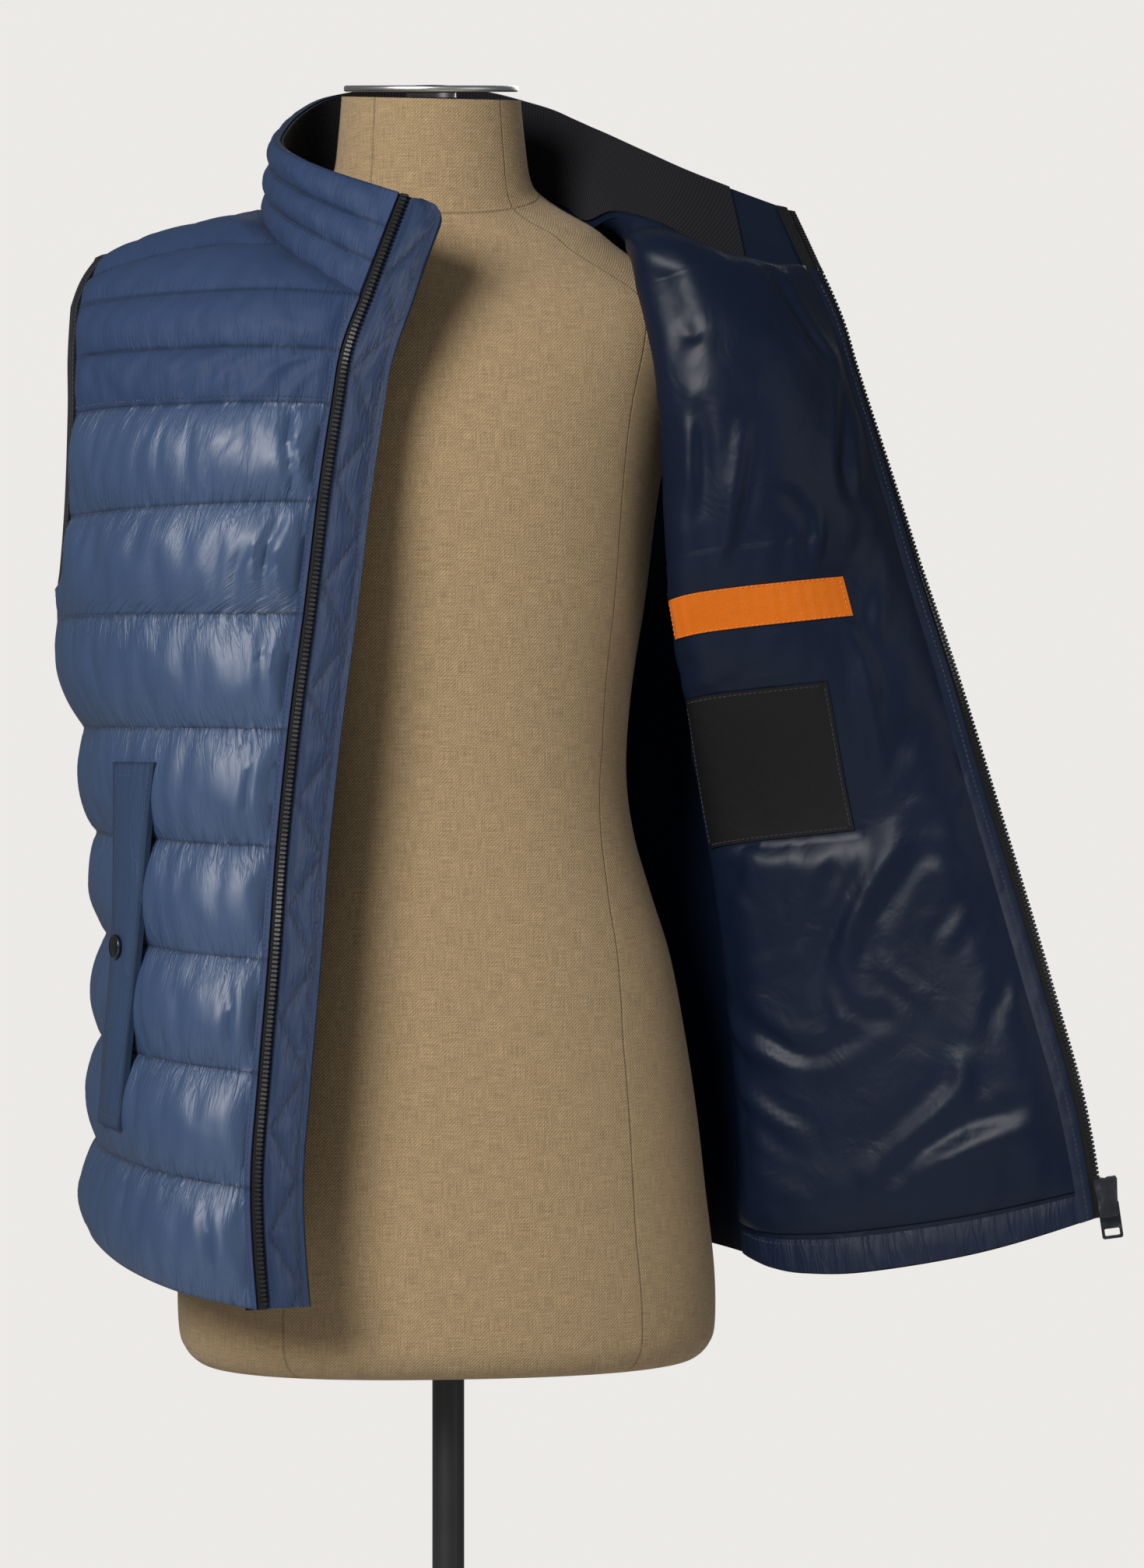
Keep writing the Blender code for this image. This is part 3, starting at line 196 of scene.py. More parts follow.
# The collar's top edge, at stations counted along the neckline from the right zip to the left one.
COLLAR_TOP = (
    # station, x, y, z
    (0, -43, -120, 1472),
    (3, -98, -72, 1499),
    (6, -105, 1, 1528),
    (8, -69, 76, 1562),
    (10, 8, 106, 1576),
    (12, 66, 86, 1562),
    (14, 90, 64, 1549),
    (17, 154, -7, 1506),
    (20, 219, -11, 1482),
)


# Cloth
WALL = 3.0
WALL_TURNED = 2.0
PUFF_YOKE = 5.0
PUFF_BODY = 7.6
PUFF_COLLAR = 4.5
PUFF_ROUND = 0.7
SEAM_GAP = 0.15
COLLAR_SEAMS = 3
EDGE_ROUND = 17
BODY_STEPS = 14
RIGHT_ZIP = 4
LEFT_ZIP = 6
BACK_SIDES = 8
BACK_NECK = (2, 6)
ZIP_STRIP = 0.085
ROLL_STATION = 3
NECK_ROWS = (0, 0.3, 0.7, 1, 1.3, 1.7, 2)
COLLAR_AT_SHOULDERS = (6, 14)
BINDING_REACH = 7.0

# Trim, from a panel's edge
TEETH_REACH = (2.4, 6.6)
WINDGUARD_REACH = (-5, 32)
POCKET_TAPE = ((6.05, 6.4), (3.1, 5.3))
LABEL = ((6.95, 8.3), (3.13, 4.95))
HEM_FACING_ROW = 11.77
LINING_EDGE = (0.06, 5.87)
RIGHT_WELT = ((1.75, 2.45), (1.35, 2.0))
LEFT_WELT = ((4.1, 4.6), (3.85, 4.3))
WELT_ROWS = (7.3, 10.7)
WELT_OUT = 14.5
SNAP_ROW = 9.03
SNAP_ACROSS = 0.4
SLIDER_ROW = 11.83
SLIDER_MIDDLE = 9.25
PIN_OUT = 7.8


class VestSizes(bpy.types.PropertyGroup):
    """Sizes of the cloth and its sewing."""

    cloth_step: FloatProperty(
        name="Cloth spacing",
        description="Distance between the points of a quilted sheet",
        default=0.003,
        min=0.002,
        max=0.01,
        unit="LENGTH",
    )
    fullness: FloatProperty(
        name="Fullness",
        description="How much wider each channel's cloth is cut than its seams",
        default=0.055,
        min=0,
        max=0.2,
        subtype="FACTOR",
    )
    filling: FloatProperty(
        name="Filling", description="How hard the padding pushes the cloth out", default=80, min=0, max=500
    )
    settle_steps: IntProperty(
        name="Settling steps", description="Frames that the cloth settles for", default=18, min=1, max=60
    )
    stitch_long: FloatProperty(
        name="Stitch", description="Length of a stitch", default=0.0024, min=0.001, max=0.005, unit="LENGTH"
    )
    stitch_pitch: FloatProperty(
        name="Stitch pitch", description="From one stitch to the next", default=0.0033, min=0.001,
        unit="LENGTH",
    )
    thread_thick: FloatProperty(
        name="Thread", description="Thickness of the sewing thread", default=0.0008, min=0.0001, unit="LENGTH"
    )
    tooth_pitch: FloatProperty(
        name="Tooth pitch", description="From one zip tooth to the next", default=0.00275, min=0.001,
        unit="LENGTH",
    )


def colour_property(name, description, default):
    return FloatVectorProperty(
        name=name, description=description, default=default, subtype="COLOR", size=3, min=0, max=1
    )


class VestColours(bpy.types.PropertyGroup):
    """Colours of the cloth, trim and form."""

    shell: colour_property("Shell", "Matte nylon of the yoke, collar and trim", (0.0245, 0.046, 0.109))
    gloss: colour_property("Glossy shell", "Shiny nylon under the yoke", (0.036, 0.066, 0.14))
    lining: colour_property("Lining", "Satin lining", (0.005, 0.0095, 0.024))
    knit: colour_property("Knit", "Knit facing and elastic binding", (0.004, 0.004, 0.006))
    zip: colour_property("Zip", "Zip tape and teeth", (0.005, 0.005, 0.006))
    orange: colour_property("Pocket tape", "Herringbone tape", (0.8, 0.175, 0.005))
    label: colour_property("Label", "Plain woven label", (0.004, 0.004, 0.005))
    linen: colour_property("Linen", "Cover of the form", (0.41, 0.287, 0.157))
    steel: colour_property("Steel", "Neck cap", (0.6, 0.6, 0.6))
    gunmetal: colour_property("Gunmetal", "Slider, pull and snaps", (0.035, 0.037, 0.042))
    paint: colour_property("Black paint", "Pole and base", (0.012, 0.012, 0.013))
    floor: colour_property("Floor", "Studio floor", (0.72, 0.72, 0.7))


def sizes():
    return bpy.context.scene.vest_sizes


def colours():
    return bpy.context.scene.vest_colours


# Curves and panels


def unit(vectors):
    return vectors / np.maximum(np.linalg.norm(vectors, axis=-1, keepdims=True), 1e-12)


def weights(knots, places, corners=()):
    """How much each knot counts at each place on the smooth curve through the knots. Corners stay sharp."""
    knots = np.asarray(knots, float)
    values = np.eye(len(knots))
    step = np.diff(knots)
    slope = np.diff(values, axis=0) / step[:, None]
    share = (step[:-1] / (step[:-1] + step[1:]))[:, None]
    between = slope[:-1] * (1 - share) + slope[1:] * share
    leave = np.vstack([slope[:1], between])
    arrive = np.vstack([between, slope[-1:]])
    for knot in (0, *corners):
        leave[knot] = 1.5 * slope[knot] - 0.5 * arrive[knot]
    for knot in (*corners, len(knots) - 1):
        arrive[knot - 1] = 1.5 * slope[knot - 1] - 0.5 * leave[knot - 1]
    span = np.clip(np.searchsorted(knots, places, side="right") - 1, 0, len(step) - 1)
    t = ((places - knots[span]) / step[span])[:, None]
    bend = leave[span] * t * (1 - t) ** 2 - arrive[span] * t * t * (1 - t)
    straight = values[span] * (1 + 2 * t) * (1 - t) ** 2 + values[span + 1] * t * t * (3 - 2 * t)
    return straight + step[span][:, None] * bend


class CutPanel:
    """A cut panel, read as a smooth surface at any row and station of its table."""

    def __init__(self, table, turn, row_places, row_corners=(), station_corners=()):
        self.table = np.array(table, float)
        self.turn = turn
        self.row_places = row_places
        self.row_corners = [row_places.index(place) for place in row_corners]
        self.station_corners = station_corners
        self.last_station = self.table.shape[1] - 1

    def points(self, rows, stations):
        rows, stations = np.broadcast_arrays(np.asarray(rows, float), np.asarray(stations, float))
        down = weights(self.row_places, rows.ravel(), self.row_corners)
        across = weights(range(self.last_station + 1), stations.ravel(), self.station_corners)
        return np.einsum("ni,nj,ijk->nk", down, across, self.table, optimize=True).reshape(*rows.shape, 3)

    def frames(self, rows, stations, nudge=0.02):
        """Points, unit normals out of the panel, and unit directions towards the higher stations."""
        rows, stations = np.broadcast_arrays(np.asarray(rows, float), np.asarray(stations, float))

        along = self.nudged(rows, stations, 0, nudge) - self.nudged(rows, stations, 0, -nudge)
        down = self.nudged(rows, stations, nudge, 0) - self.nudged(rows, stations, -nudge, 0)
        normals = self.turn * unit(np.cross(along, down))
        return self.points(rows, stations), normals, unit(along)

    def nudged(self, rows, stations, down, across):
        rows = np.clip(rows + down, self.row_places[0], self.row_places[-1])
        return self.points(rows, np.clip(stations + across, 0, self.last_station))

    def even_stations(self, first, last, step, row=8):
        """Stations an even distance apart, measured along one row."""
        fine = np.linspace(first, last, 200)
        length = arc(self.points(np.full(200, float(row)), fine), 0)
        count = max(2, round(length[-1] / step) + 1)
        return np.interp(np.linspace(0, length[-1], count), length, fine)


def ramp(values, start, end):
    return np.clip((values - start) / (end - start), 0, 1)


def arc(grid, axis):
    """Distance along a line or grid of points, from its first row or column."""
    steps = np.linalg.norm(np.diff(grid, axis=axis), axis=-1)
    start = np.zeros_like(steps.take([0], axis=axis))
    return np.concatenate([start, np.cumsum(steps, axis=axis)], axis=axis)


def read_at(places, knots, vectors):
    """The vectors at any places between the knots that they belong to."""
    return np.stack([np.interp(places, knots, vectors[:, n]) for n in range(3)], axis=-1)


def noise_field(points, size, seed, stretch=(1, 1, 1)):
    """Smooth noise from -1 to 1 at a grid of points in millimetres."""
    scale = np.array(stretch, float) / size
    moved = points.reshape(-1, 3) * scale + seed * 17.3
    values = np.array([noise.noise(Vector(place)) for place in moved])
    return values.reshape(points.shape[:-1])


def quilt_rows(first, last, steps):
    return first + np.arange((last - first) * steps + 1) / steps


def padding(rows, depth):
    return depth * np.abs(np.sin(np.pi * rows)) ** PUFF_ROUND


def body_padding(rows):
    return padding(rows, np.where(rows < YOKE_ROW, PUFF_YOKE, PUFF_BODY))


def rounded_edge(distance):
    """0 at a sewn edge, rising like a round shoulder to 1."""
    short = 1 - np.clip(distance / EDGE_ROUND, 0, 1)
    return np.sqrt(1 - short * short)


def edge_fade(grid, rows, stations, near, far):
    """How far the padding is from being held flat by its two side edges."""
    length = arc(grid, 1)
    start = np.array([np.interp(near, s, a) for s, a in zip(stations, length)])[:, None]
    end = np.array([np.interp(far, s, a) for s, a in zip(stations, length)])[:, None]
    binding = np.where(rows < ROW_PLACES[UNDERARM_ROW], BINDING_REACH, 0)
    return rounded_edge(np.minimum(length - start - binding, end - length).clip(0))


def right_thickness(grid, rows, stations):
    fade = edge_fade(grid, rows, stations, 0, RIGHT_ZIP - ZIP_STRIP)
    return WALL + body_padding(rows) * fade


def left_thickness(grid, rows, stations):
    fade = edge_fade(grid, rows, stations, 0, LEFT_ZIP - ZIP_STRIP + 0.02)
    tight = (1 - ramp(np.abs(stations - ROLL_STATION), 0.4, 1.8)) * (1 - ramp(rows, 7, 10))
    turned_over = ramp(stations, 0.8, 2) * (1 - ramp(rows, 1.3, 2.7))
    full = WALL + body_padding(rows) * fade * (1 - 0.8 * tight)
    return full + (WALL_TURNED - full) * turned_over


def back_thickness(grid, rows, stations):
    length = arc(grid, 1)
    binding = np.where(rows < ROW_PLACES[UNDERARM_ROW], BINDING_REACH, 0)
    fade = rounded_edge((np.minimum(length, length[:, -1:] - length) - binding).clip(0))
    corner = ramp(np.abs(stations - BACK_NECK[1]), 1, 0.4) * ramp(rows, 1, 0.9)
    return WALL + body_padding(rows) * fade * (1 - 0.8 * corner)


def collar_thickness(grid, rows, stations):
    last = COLLAR_TOP[-1][0]
    fade = ramp(stations, 0.3, 0.8) * ramp(stations, last - 0.3, last - 0.8)
    turned_over = ramp(stations, 12, 14) * ramp(rows, 1.5, 2.3)
    flat = np.maximum(0.8 * turned_over, 0.5 * ramp(rows, 1.9, 2.1))
    return WALL + padding(rows, PUFF_COLLAR) * fade * (1 - flat)


def neck_places():
    """Where the collar's stations lie: right front up to the shoulder, the back, left front down again."""
    back = [BACK_NECK[0] + step / 2 for step in range(1, 8)]
    right = [(right_panel, row, RIGHT_ZIP) for row in NECK_ROWS[::-1]]
    left = [(left_panel, row, LEFT_ZIP) for row in NECK_ROWS]
    return right + [(back_panel, 0, station) for station in back] + left


def make_collar_panel():
    base = np.array([panel.points(row, station) for panel, row, station in neck_places()])
    stations = [knot[0] for knot in COLLAR_TOP]
    top = weights(stations, np.arange(len(base))) @ np.array(COLLAR_TOP, float)[:, 1:]
    rows = [top + (base - top) * row / COLLAR_SEAMS for row in range(COLLAR_SEAMS + 1)]
    return CutPanel(rows, 1, tuple(range(COLLAR_SEAMS + 1)))


right_panel = CutPanel(RIGHT_FRONT, -1, ROW_PLACES, (NECK_CORNER_ROW, UNDERARM_ROW))
left_panel = CutPanel(LEFT_FRONT, 1, LEFT_ROW_PLACES, (NECK_CORNER_ROW, UNDERARM_ROW))
back_panel = CutPanel(BACK, 1, ROW_PLACES, (UNDERARM_ROW,), BACK_NECK)
collar_panel = make_collar_panel()


def midway(first, second):
    """The normals of two sewn edges, leaned towards each other until they meet."""
    between = (first * second).sum(axis=-1, keepdims=True)
    return (first + second) / np.maximum(1 + between, 0.6)


def neck_leans(stations):
    """At stations of the neckline, the direction midway between the panel's and the collar's normals."""
    places = neck_places()
    below = np.array([panel.frames(row, place)[1] for panel, row, place in places])
    above = collar_panel.frames(COLLAR_SEAMS, np.arange(len(places)))[1]
    return read_at(stations, np.arange(len(places)), midway(below, above))


def neck_station(row, left):
    """The collar's station at a row of a front's neckline."""
    along = np.interp(row, NECK_ROWS, range(len(NECK_ROWS)))
    return COLLAR_AT_SHOULDERS[1] + along if left else COLLAR_AT_SHOULDERS[0] - along


# Meshes


def show_smooth(mesh, angle=50):
    mesh.polygons.foreach_set("use_smooth", np.ones(len(mesh.polygons), bool))
    mesh.set_sharp_from_angle(angle=math.radians(angle))


def volume(mesh):
    mesh.calc_loop_triangles()
    corners = np.empty(len(mesh.loop_triangles) * 3, np.int32)
    mesh.loop_triangles.foreach_get("vertices", corners)
    places = np.empty(len(mesh.vertices) * 3, np.float32)
    mesh.vertices.foreach_get("co", places)
    return np.linalg.det(places.reshape(-1, 3)[corners.reshape(-1, 3)].astype(float)).sum()


def add_mesh(name, points, faces, uv=None, finishes=(), face_finish=None, smooth_angle=50, seam=None):
    """A mesh object from points in millimetres, with its faces turned outwards. Seam is each point's distance
    from the nearest seam."""
    mesh = bpy.data.meshes.new(name)
    mesh.from_pydata((np.asarray(points, float) * MM).tolist(), [], faces)
    if uv is not None:
        corners = np.zeros(len(mesh.loops), np.int32)
        mesh.loops.foreach_get("vertex_index", corners)
        layer = mesh.uv_layers.new(name="cloth")
        layer.data.foreach_set("uv", (np.asarray(uv, float)[corners] * MM).ravel().astype(np.float32))
    if seam is not None:
        attribute = mesh.attributes.new("seam", "FLOAT", "POINT")
        attribute.data.foreach_set("value", np.asarray(seam, np.float32).ravel())
    for finish_name in finishes:
        mesh.materials.append(finish(finish_name))
    if face_finish is not None:
        mesh.polygons.foreach_set("material_index", np.asarray(face_finish, np.int32))
    if volume(mesh) < 0:
        mesh.flip_normals()
    show_smooth(mesh, smooth_angle)
    piece = bpy.data.objects.new(name, mesh)
    bpy.context.scene.collection.objects.link(piece)
    return piece


def grid_faces(rows, columns, start=0, flip=False):
    index = start + np.arange(rows * columns).reshape(rows, columns)
    quads = np.stack([index[:-1, :-1], index[:-1, 1:], index[1:, 1:], index[1:, :-1]], axis=-1).reshape(-1, 4)
    return (quads[:, ::-1] if flip else quads).tolist()


def rim_faces(rows, columns, depth):
    """The faces that close the four borders between two grids of the same size."""
    index = np.arange(rows * columns).reshape(rows, columns)
    loop = [*index[0], *index[1:, -1], *index[-1, -2::-1], *index[-2:0:-1, 0]]
    return [(a, b, b + depth, a + depth) for a, b in zip(loop, loop[1:] + loop[:1])]


def tube_faces(rings, sides, first=0, closed=False):
    """Faces between rings of points, with a cap on each end unless the last ring joins the first."""
    faces = []
    for ring in range(rings if closed else rings - 1):
        here, there = first + ring * sides, first + (ring + 1) % rings * sides
        for side in range(sides):
            other = (side + 1) % sides
            faces.append((here + side, here + other, there + other, there + side))
    if not closed:
        last = first + (rings - 1) * sides
        faces += [tuple(range(first, first + sides))[::-1], tuple(range(last, last + sides))]
    return faces


def thick_sheet(name, near, far, finishes, uv=None, far_finish=None, seam=None):
    """A closed wall between two grids. The last finish is the near side's, the others go by far_finish."""
    rows, columns = near.shape[:2]
    count = rows * columns
    points = np.concatenate([near.reshape(-1, 3), far.reshape(-1, 3)])
    faces = grid_faces(rows, columns) + grid_faces(rows, columns, count, True)
    faces += rim_faces(rows, columns, count)
    if uv is None:
        uv = np.stack([arc(far, 1), arc(far, 0)], axis=-1)
    cells = (rows - 1) * (columns - 1)
    outer = np.zeros(cells, int) if far_finish is None else far_finish.ravel()
    rim = len(faces) - 2 * cells
    face_finish = np.concatenate([np.full(cells, len(finishes) - 1), outer, np.full(rim, outer[-1])])
    if seam is not None:
        seam = np.stack([np.broadcast_to(seam, (rows, columns))] * 2)
    flat_uv = np.concatenate([uv.reshape(-1, 2)] * 2)
    return add_mesh(name, points, faces, flat_uv, finishes, face_finish, seam=seam)


def loft(name, rings, finishes, closed=False, uv=None, smooth_angle=50, seam=None):
    """A solid through closed sections of the same number of points: capped, or joined end to end."""
    count, sides = rings.shape[:2]
    faces = tube_faces(count, sides, closed=closed)
    if uv is None:
        along = arc(rings[:, 0], 0)
        uv = np.stack([arc(rings, 1), np.repeat(along[:, None], sides, axis=1)], axis=-1)
    return add_mesh(name, rings.reshape(-1, 3), faces, uv.reshape(-1, 2), finishes, None, smooth_angle, seam)


def lathe(name, profile, sides, finishes, matrix=None):
    """A turned shape about Z through (radius, height) points; the ends lie on the axis."""
    angles = np.arange(sides) * 2 * math.pi / sides
    rings = np.array(
        [[(reach * math.cos(a), reach * math.sin(a), high) for a in angles] for reach, high in profile[1:-1]]
    )
    points = np.concatenate([rings.reshape(-1, 3), [(0, 0, profile[0][1]), (0, 0, profile[-1][1])]])
    *faces, _, _ = tube_faces(len(rings), sides)
    first, last = len(points) - 2, len(points) - 1
    edge = (len(rings) - 1) * sides
    for side in range(sides):
        other = (side + 1) % sides
        faces += [(first, other, side), (last, edge + side, edge + other)]
    radii = np.linalg.norm(points[:, :2], axis=1)
    turn = np.arctan2(points[:, 1], points[:, 0])
    uv = np.stack([radii + points[:, 2], turn * 60], axis=1)
    piece = add_mesh(name, points, faces, uv, finishes, None, 40)
    if matrix is not None:
        piece.data.transform(matrix)
    return piece


def seat(piece, body, slot_name, *nodes):
    """Sets the piece on its body, and has it stand for the model's plain nodes. The slot name is not used."""
    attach(piece, body)
    if nodes:
        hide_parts(*nodes)
    return piece


class Stitching:
    """Collects stitches along lines on the cloth and makes them into one object."""

    def __init__(self):
        self.points = []
        self.faces = []

    def line(self, points, normals, lift=0.15):
        """Stitches along a line of points in millimetres, standing a little out of the cloth."""
        long, pitch = sizes().stitch_long / MM, sizes().stitch_pitch / MM
        radius = sizes().thread_thick / MM / 2
        length = arc(points, 0)
        angles = np.radians((90, 210, 330))
        heights = np.array((lift - 0.25, lift, lift - 0.25))[:, None]
        thick = radius * np.array((0.6, 1, 0.6))[:, None]
        for start in np.arange(pitch / 2, length[-1] - pitch, pitch):
            places = start + np.array((0, long / 2, long))
            centre = read_at(places, length, points)
            normal = unit(read_at(places[1], length, normals))
            side = np.cross(normal, unit(centre[2] - centre[0]))
            up = (heights + thick * np.sin(angles))[..., None]
            across = (1.2 * thick * np.cos(angles))[..., None]
            self.faces += tube_faces(3, 3, 9 * len(self.points))
            self.points.append((centre[:, None] + up * normal + across * side).reshape(9, 3))

    def make(self, name, finish_name):
        return add_mesh(name, np.concatenate(self.points), self.faces, None, (finish_name,), smooth_angle=80)


# Materials


class Wire:
    """A value that runs through a node tree, with the arithmetic of a plain number."""

    def __init__(self, tree, socket):
        self.tree, self.socket = tree, socket

    def math(self, operation, *values, **settings):
        return wire(self.tree, "Math", (self, *values), operation=operation, **settings)

    def __add__(self, other):
        return self.math("ADD", other)

    def __mul__(self, other):
        return self.math("MULTIPLY", other)

    def __truediv__(self, other):
        return self.math("DIVIDE", other)

    def graded(self, slope, start):
        return self.math("MULTIPLY_ADD", slope, start)

    def humps(self):
        """A row of round crowns, one for each whole number."""
        return (self * math.pi).math("SINE").math("ABSOLUTE")


def feed(tree, value, socket):
    if isinstance(value, Wire):
        tree.links.new(value.socket, socket)
    else:
        socket.default_value = value


def wire(tree, kind, inputs=(), output=0, **settings):
    """An output of a new node. Its inputs, by place or by name, take wires or plain values."""
    node = tree.nodes.new("ShaderNode" + kind)
    for label, value in settings.items():
        setattr(node, label, value)
    for place, value in inputs.items() if isinstance(inputs, dict) else enumerate(inputs):
        feed(tree, value, node.inputs[place])
    return Wire(tree, node.outputs[output])


def scaled(vector, amounts):
    return wire(vector.tree, "VectorMath", (vector, amounts), operation="MULTIPLY")


def spread(value, low, high, to_low=0.0, to_high=1.0, kind="SMOOTHSTEP"):
    ends = {"Value": value, "From Min": low, "From Max": high, "To Min": to_low, "To Max": to_high}
    return wire(value.tree, "MapRange", ends, interpolation_type=kind)


def noise_of(vector, scale, detail=2.0, rough=0.5, distortion=0.0):
    inputs = {"Vector": vector, "Scale": scale, "Detail": detail, "Roughness": rough}
    inputs["Distortion"] = distortion
    return wire(vector.tree, "TexNoise", inputs)


def blended(share, first, second):
    return wire(share.tree, "Mix", {"Factor": share, 6: first, 7: second}, 2, data_type="RGBA")


def axes(vector):
    first = wire(vector.tree, "SeparateXYZ", (vector,))
    return [Wire(vector.tree, socket) for socket in first.socket.node.outputs[:2]]


def effect(name, outputs=("Height",), **inputs):
    """Makes a function that builds nodes into a shared node group of its own, which each caller then uses. An
    input with no default is a vector, and the others are numbers. One output comes back as a wire."""
    number, vector = "NodeSocketFloat", "NodeSocketVector"

    def shared(build):
        def group():
            tree = bpy.data.node_groups.new(name, "ShaderNodeTree")
            for label, default in inputs.items():
                kind = vector if default is None else number
                socket = tree.interface.new_socket(label, in_out="INPUT", socket_type=kind)
                if default is not None:
                    socket.default_value = default
            for label in outputs:
                tree.interface.new_socket(label, in_out="OUTPUT", socket_type=number)
            source, sink = tree.nodes.new("NodeGroupInput"), tree.nodes.new("NodeGroupOutput")
            made = build(*(Wire(tree, source.outputs[label]) for label in inputs))
            for label, value in zip(outputs, made if len(outputs) > 1 else [made]):
                feed(tree, value, sink.inputs[label])
            return tree

        def use(*values):
            tree = values[0].tree
            first = wire(tree, "Group", values, node_tree=bpy.data.node_groups.get(name) or group())
            made = [Wire(tree, socket) for socket in first.socket.node.outputs]
            return first if len(made) == 1 else made

        return use

    return shared


@effect("Plain weave", Vector=None, Warp=1.0, Weft=1.0)
def weave(vector, warp, weft):
    """Over and under threads of a plain weave. The vector is in millimetres."""
    u, v = axes(vector)

    def thread(across, along, sign):
        wave = ((along + across.math("FLOOR")) * math.pi).math("COSINE")
        return across.humps() * wave.graded(0.45 * sign, 0.55)

    turns, picks = u / warp, v / weft
    return thread(turns, picks, 1).math("MAXIMUM", thread(picks, turns, -1))


@effect("Herringbone twill", Vector=None, Pitch=1.0, Column=5.0)
def herringbone(vector, pitch, column):
    """Slanting twill lines that turn back at each column. The vector is in millimetres."""
    u, v = axes(vector)
    return ((v + u.math("PINGPONG", column)) / pitch).humps()


@effect("Ribs", Vector=None, Pitch=1.0)
def ribs(vector, pitch):
    """Knitted ribs with their loops. The vector is in millimetres."""
    u, v = axes(vector)
    return (v / 0.25).math("SINE").graded(0.2, (u / pitch).humps())


def stretched(across, thin, along, long):
    """A vector for noise that is drawn out along one direction."""
    return wire(across.tree, "CombineXYZ", (across / thin, along / long))


@effect("Slubs", ("Across", "Along"), Vector=None, Thin=1.0, Long=20.0)
def slubs(vector, thin, long):
    """Thick and thin threads. The vector is in millimetres."""
    u, v = axes(vector)
    return [noise_of(stretched(a, thin, b, long), 1.0, 3.0, 0.6) for a, b in ((u, v), (v, u))]


@effect("Gathers", Vector=None, Distance=0.0, Pitch=4.0, Reach=12.0)
def gathers(vector, distance, pitch, reach):
    """Small gathers that run out from a seam and die away. The distance and vector are in millimetres."""
    u, v = axes(vector)
    folds = noise_of(stretched(u, pitch, v, pitch * 6.5), 1.0, 3.0, 0.55, 0.6)
    fade = wire(vector.tree, "Math", (math.e, distance / reach * -1.0), operation="POWER")
    ridged = folds.graded(2.0, -1.0).math("ABSOLUTE")
    sharp = ridged.math("MULTIPLY", 2.4, use_clamp=True).math("POWER", 0.6)
    return sharp.graded(0.7, folds) * fade


@effect("Seam shade", ("Mask",), Distance=0.0, Width=3.0)
def seam_shade(distance, width):
    return spread(distance, 0.0, width, 1.0, 0.0)


@effect("Cloud", ("Value",), Vector=None, Size=100.0)
def cloud(vector, size):
    """Uneven patches of about one size in millimetres. The vector is in metres."""
    return noise_of(vector, wire(vector.tree, "Math", (1000.0, size), operation="DIVIDE"), 4.0, 0.55)


def tint(colour, amount=1.0):
    return (*(min(1.0, part * amount) for part in getattr(colours(), colour)), 1.0)


class Finish:
    """One material: a principled shader with the cloth or metal effects wired into it."""

    def __init__(self, name, settings):
        self.material = bpy.data.materials.new("vest_" + name)
        self.material.use_nodes = True
        self.tree = self.material.node_tree
        self.shader = self.tree.nodes["Principled BSDF"]
        for label, value in settings.items():
            self.shader.inputs[label.replace("_", " ")].default_value = value

    def cloth(self):
        """Millimetres along the cloth's own layer."""
        return scaled(wire(self.tree, "UVMap", uv_map="cloth"), (1000.0, 1000.0, 1000.0))

    def place(self):
        return wire(self.tree, "TexCoord", output="Object")

    def seam(self):
        """Millimetres to the nearest seam."""
        return wire(self.tree, "Attribute", output="Fac", attribute_name="seam")

    def paint(self, value):
        feed(self.tree, value, self.shader.inputs["Base Color"])

    def colour(self, share, name, low, high):
        """One of the vest's colours, from darker to lighter as the share grows."""
        self.paint(blended(share, tint(name, low), tint(name, high)))

    def roughness(self, value):
        feed(self.tree, value, self.shader.inputs["Roughness"])

    def bumps(self, *layers):
        """Bump layers, each a height with its depth in millimetres, one over the other."""
        under = {}
        for height, depth in layers:
            bump = {"Strength": 1.0, "Distance": depth * MM, "Height": height, **under}
            normal = wire(self.tree, "Bump", bump)
            under = {"Normal": normal}
        feed(self.tree, normal, self.shader.inputs["Normal"])


FINISHES = {}


def finish_of(name, **settings):
    """Keeps a function as the maker of one material, whose shader has these settings."""

    def keep(wire_up):
        def make():
            made = Finish(name, settings)
            wire_up(made)
            return made.material

        FINISHES[name] = make

    return keep


def nylon(name, colour, share, roughness, gather_depth, pitch, **settings):
    """Thin padded nylon: fine weave, gathers at the seams, soft crinkle, and painted shade that darkens the
    seams.
    """

    @finish_of(name, **settings)
    def wire_up(made):
        cloth, place, seam = made.cloth(), made.place(), made.seam()
        patches = cloud(place, 60)
        worn = blended(patches, tint(colour, share * 0.88), tint(colour, share * 1.14))
        # Painted shade: the colour darkens towards each seam, where the quilting dips.
        made.paint(blended(seam_shade(seam, 2.6) * 0.55, worn, tint(colour, share * 0.35)))
        made.roughness(patches.graded(0.1, roughness - 0.05))
        crinkle = noise_of(scaled(place, (1.0, 1.0, 0.45)), 75.0, 3.0, 0.45, 0.5)
        folds = gathers(cloth, seam, pitch, 13.0)
        made.bumps((crinkle, 0.45), (folds, gather_depth), (weave(cloth, 0.45, 0.45), 0.035))


MATTE = {"Sheen_Weight": 0.02, "Sheen_Roughness": 0.5, "Specular_IOR_Level": 0.22}
nylon("matte_nylon", "shell", 1, 0.6, 0.8, 4.6, **MATTE)
nylon("glossy_nylon", "gloss", 1, 0.42, 1.1, 4.2, Specular_IOR_Level=0.6)
nylon("welt_nylon", "gloss", 0.8, 0.45, 0.7, 4.5, Specular_IOR_Level=0.4)
nylon("guard_nylon", "shell", 0.72, 0.58, 0.6, 4.0, Specular_IOR_Level=0.25)
nylon("facing_nylon", "lining", 1.3, 0.36, 1.0, 9.0, Specular_IOR_Level=0.22)


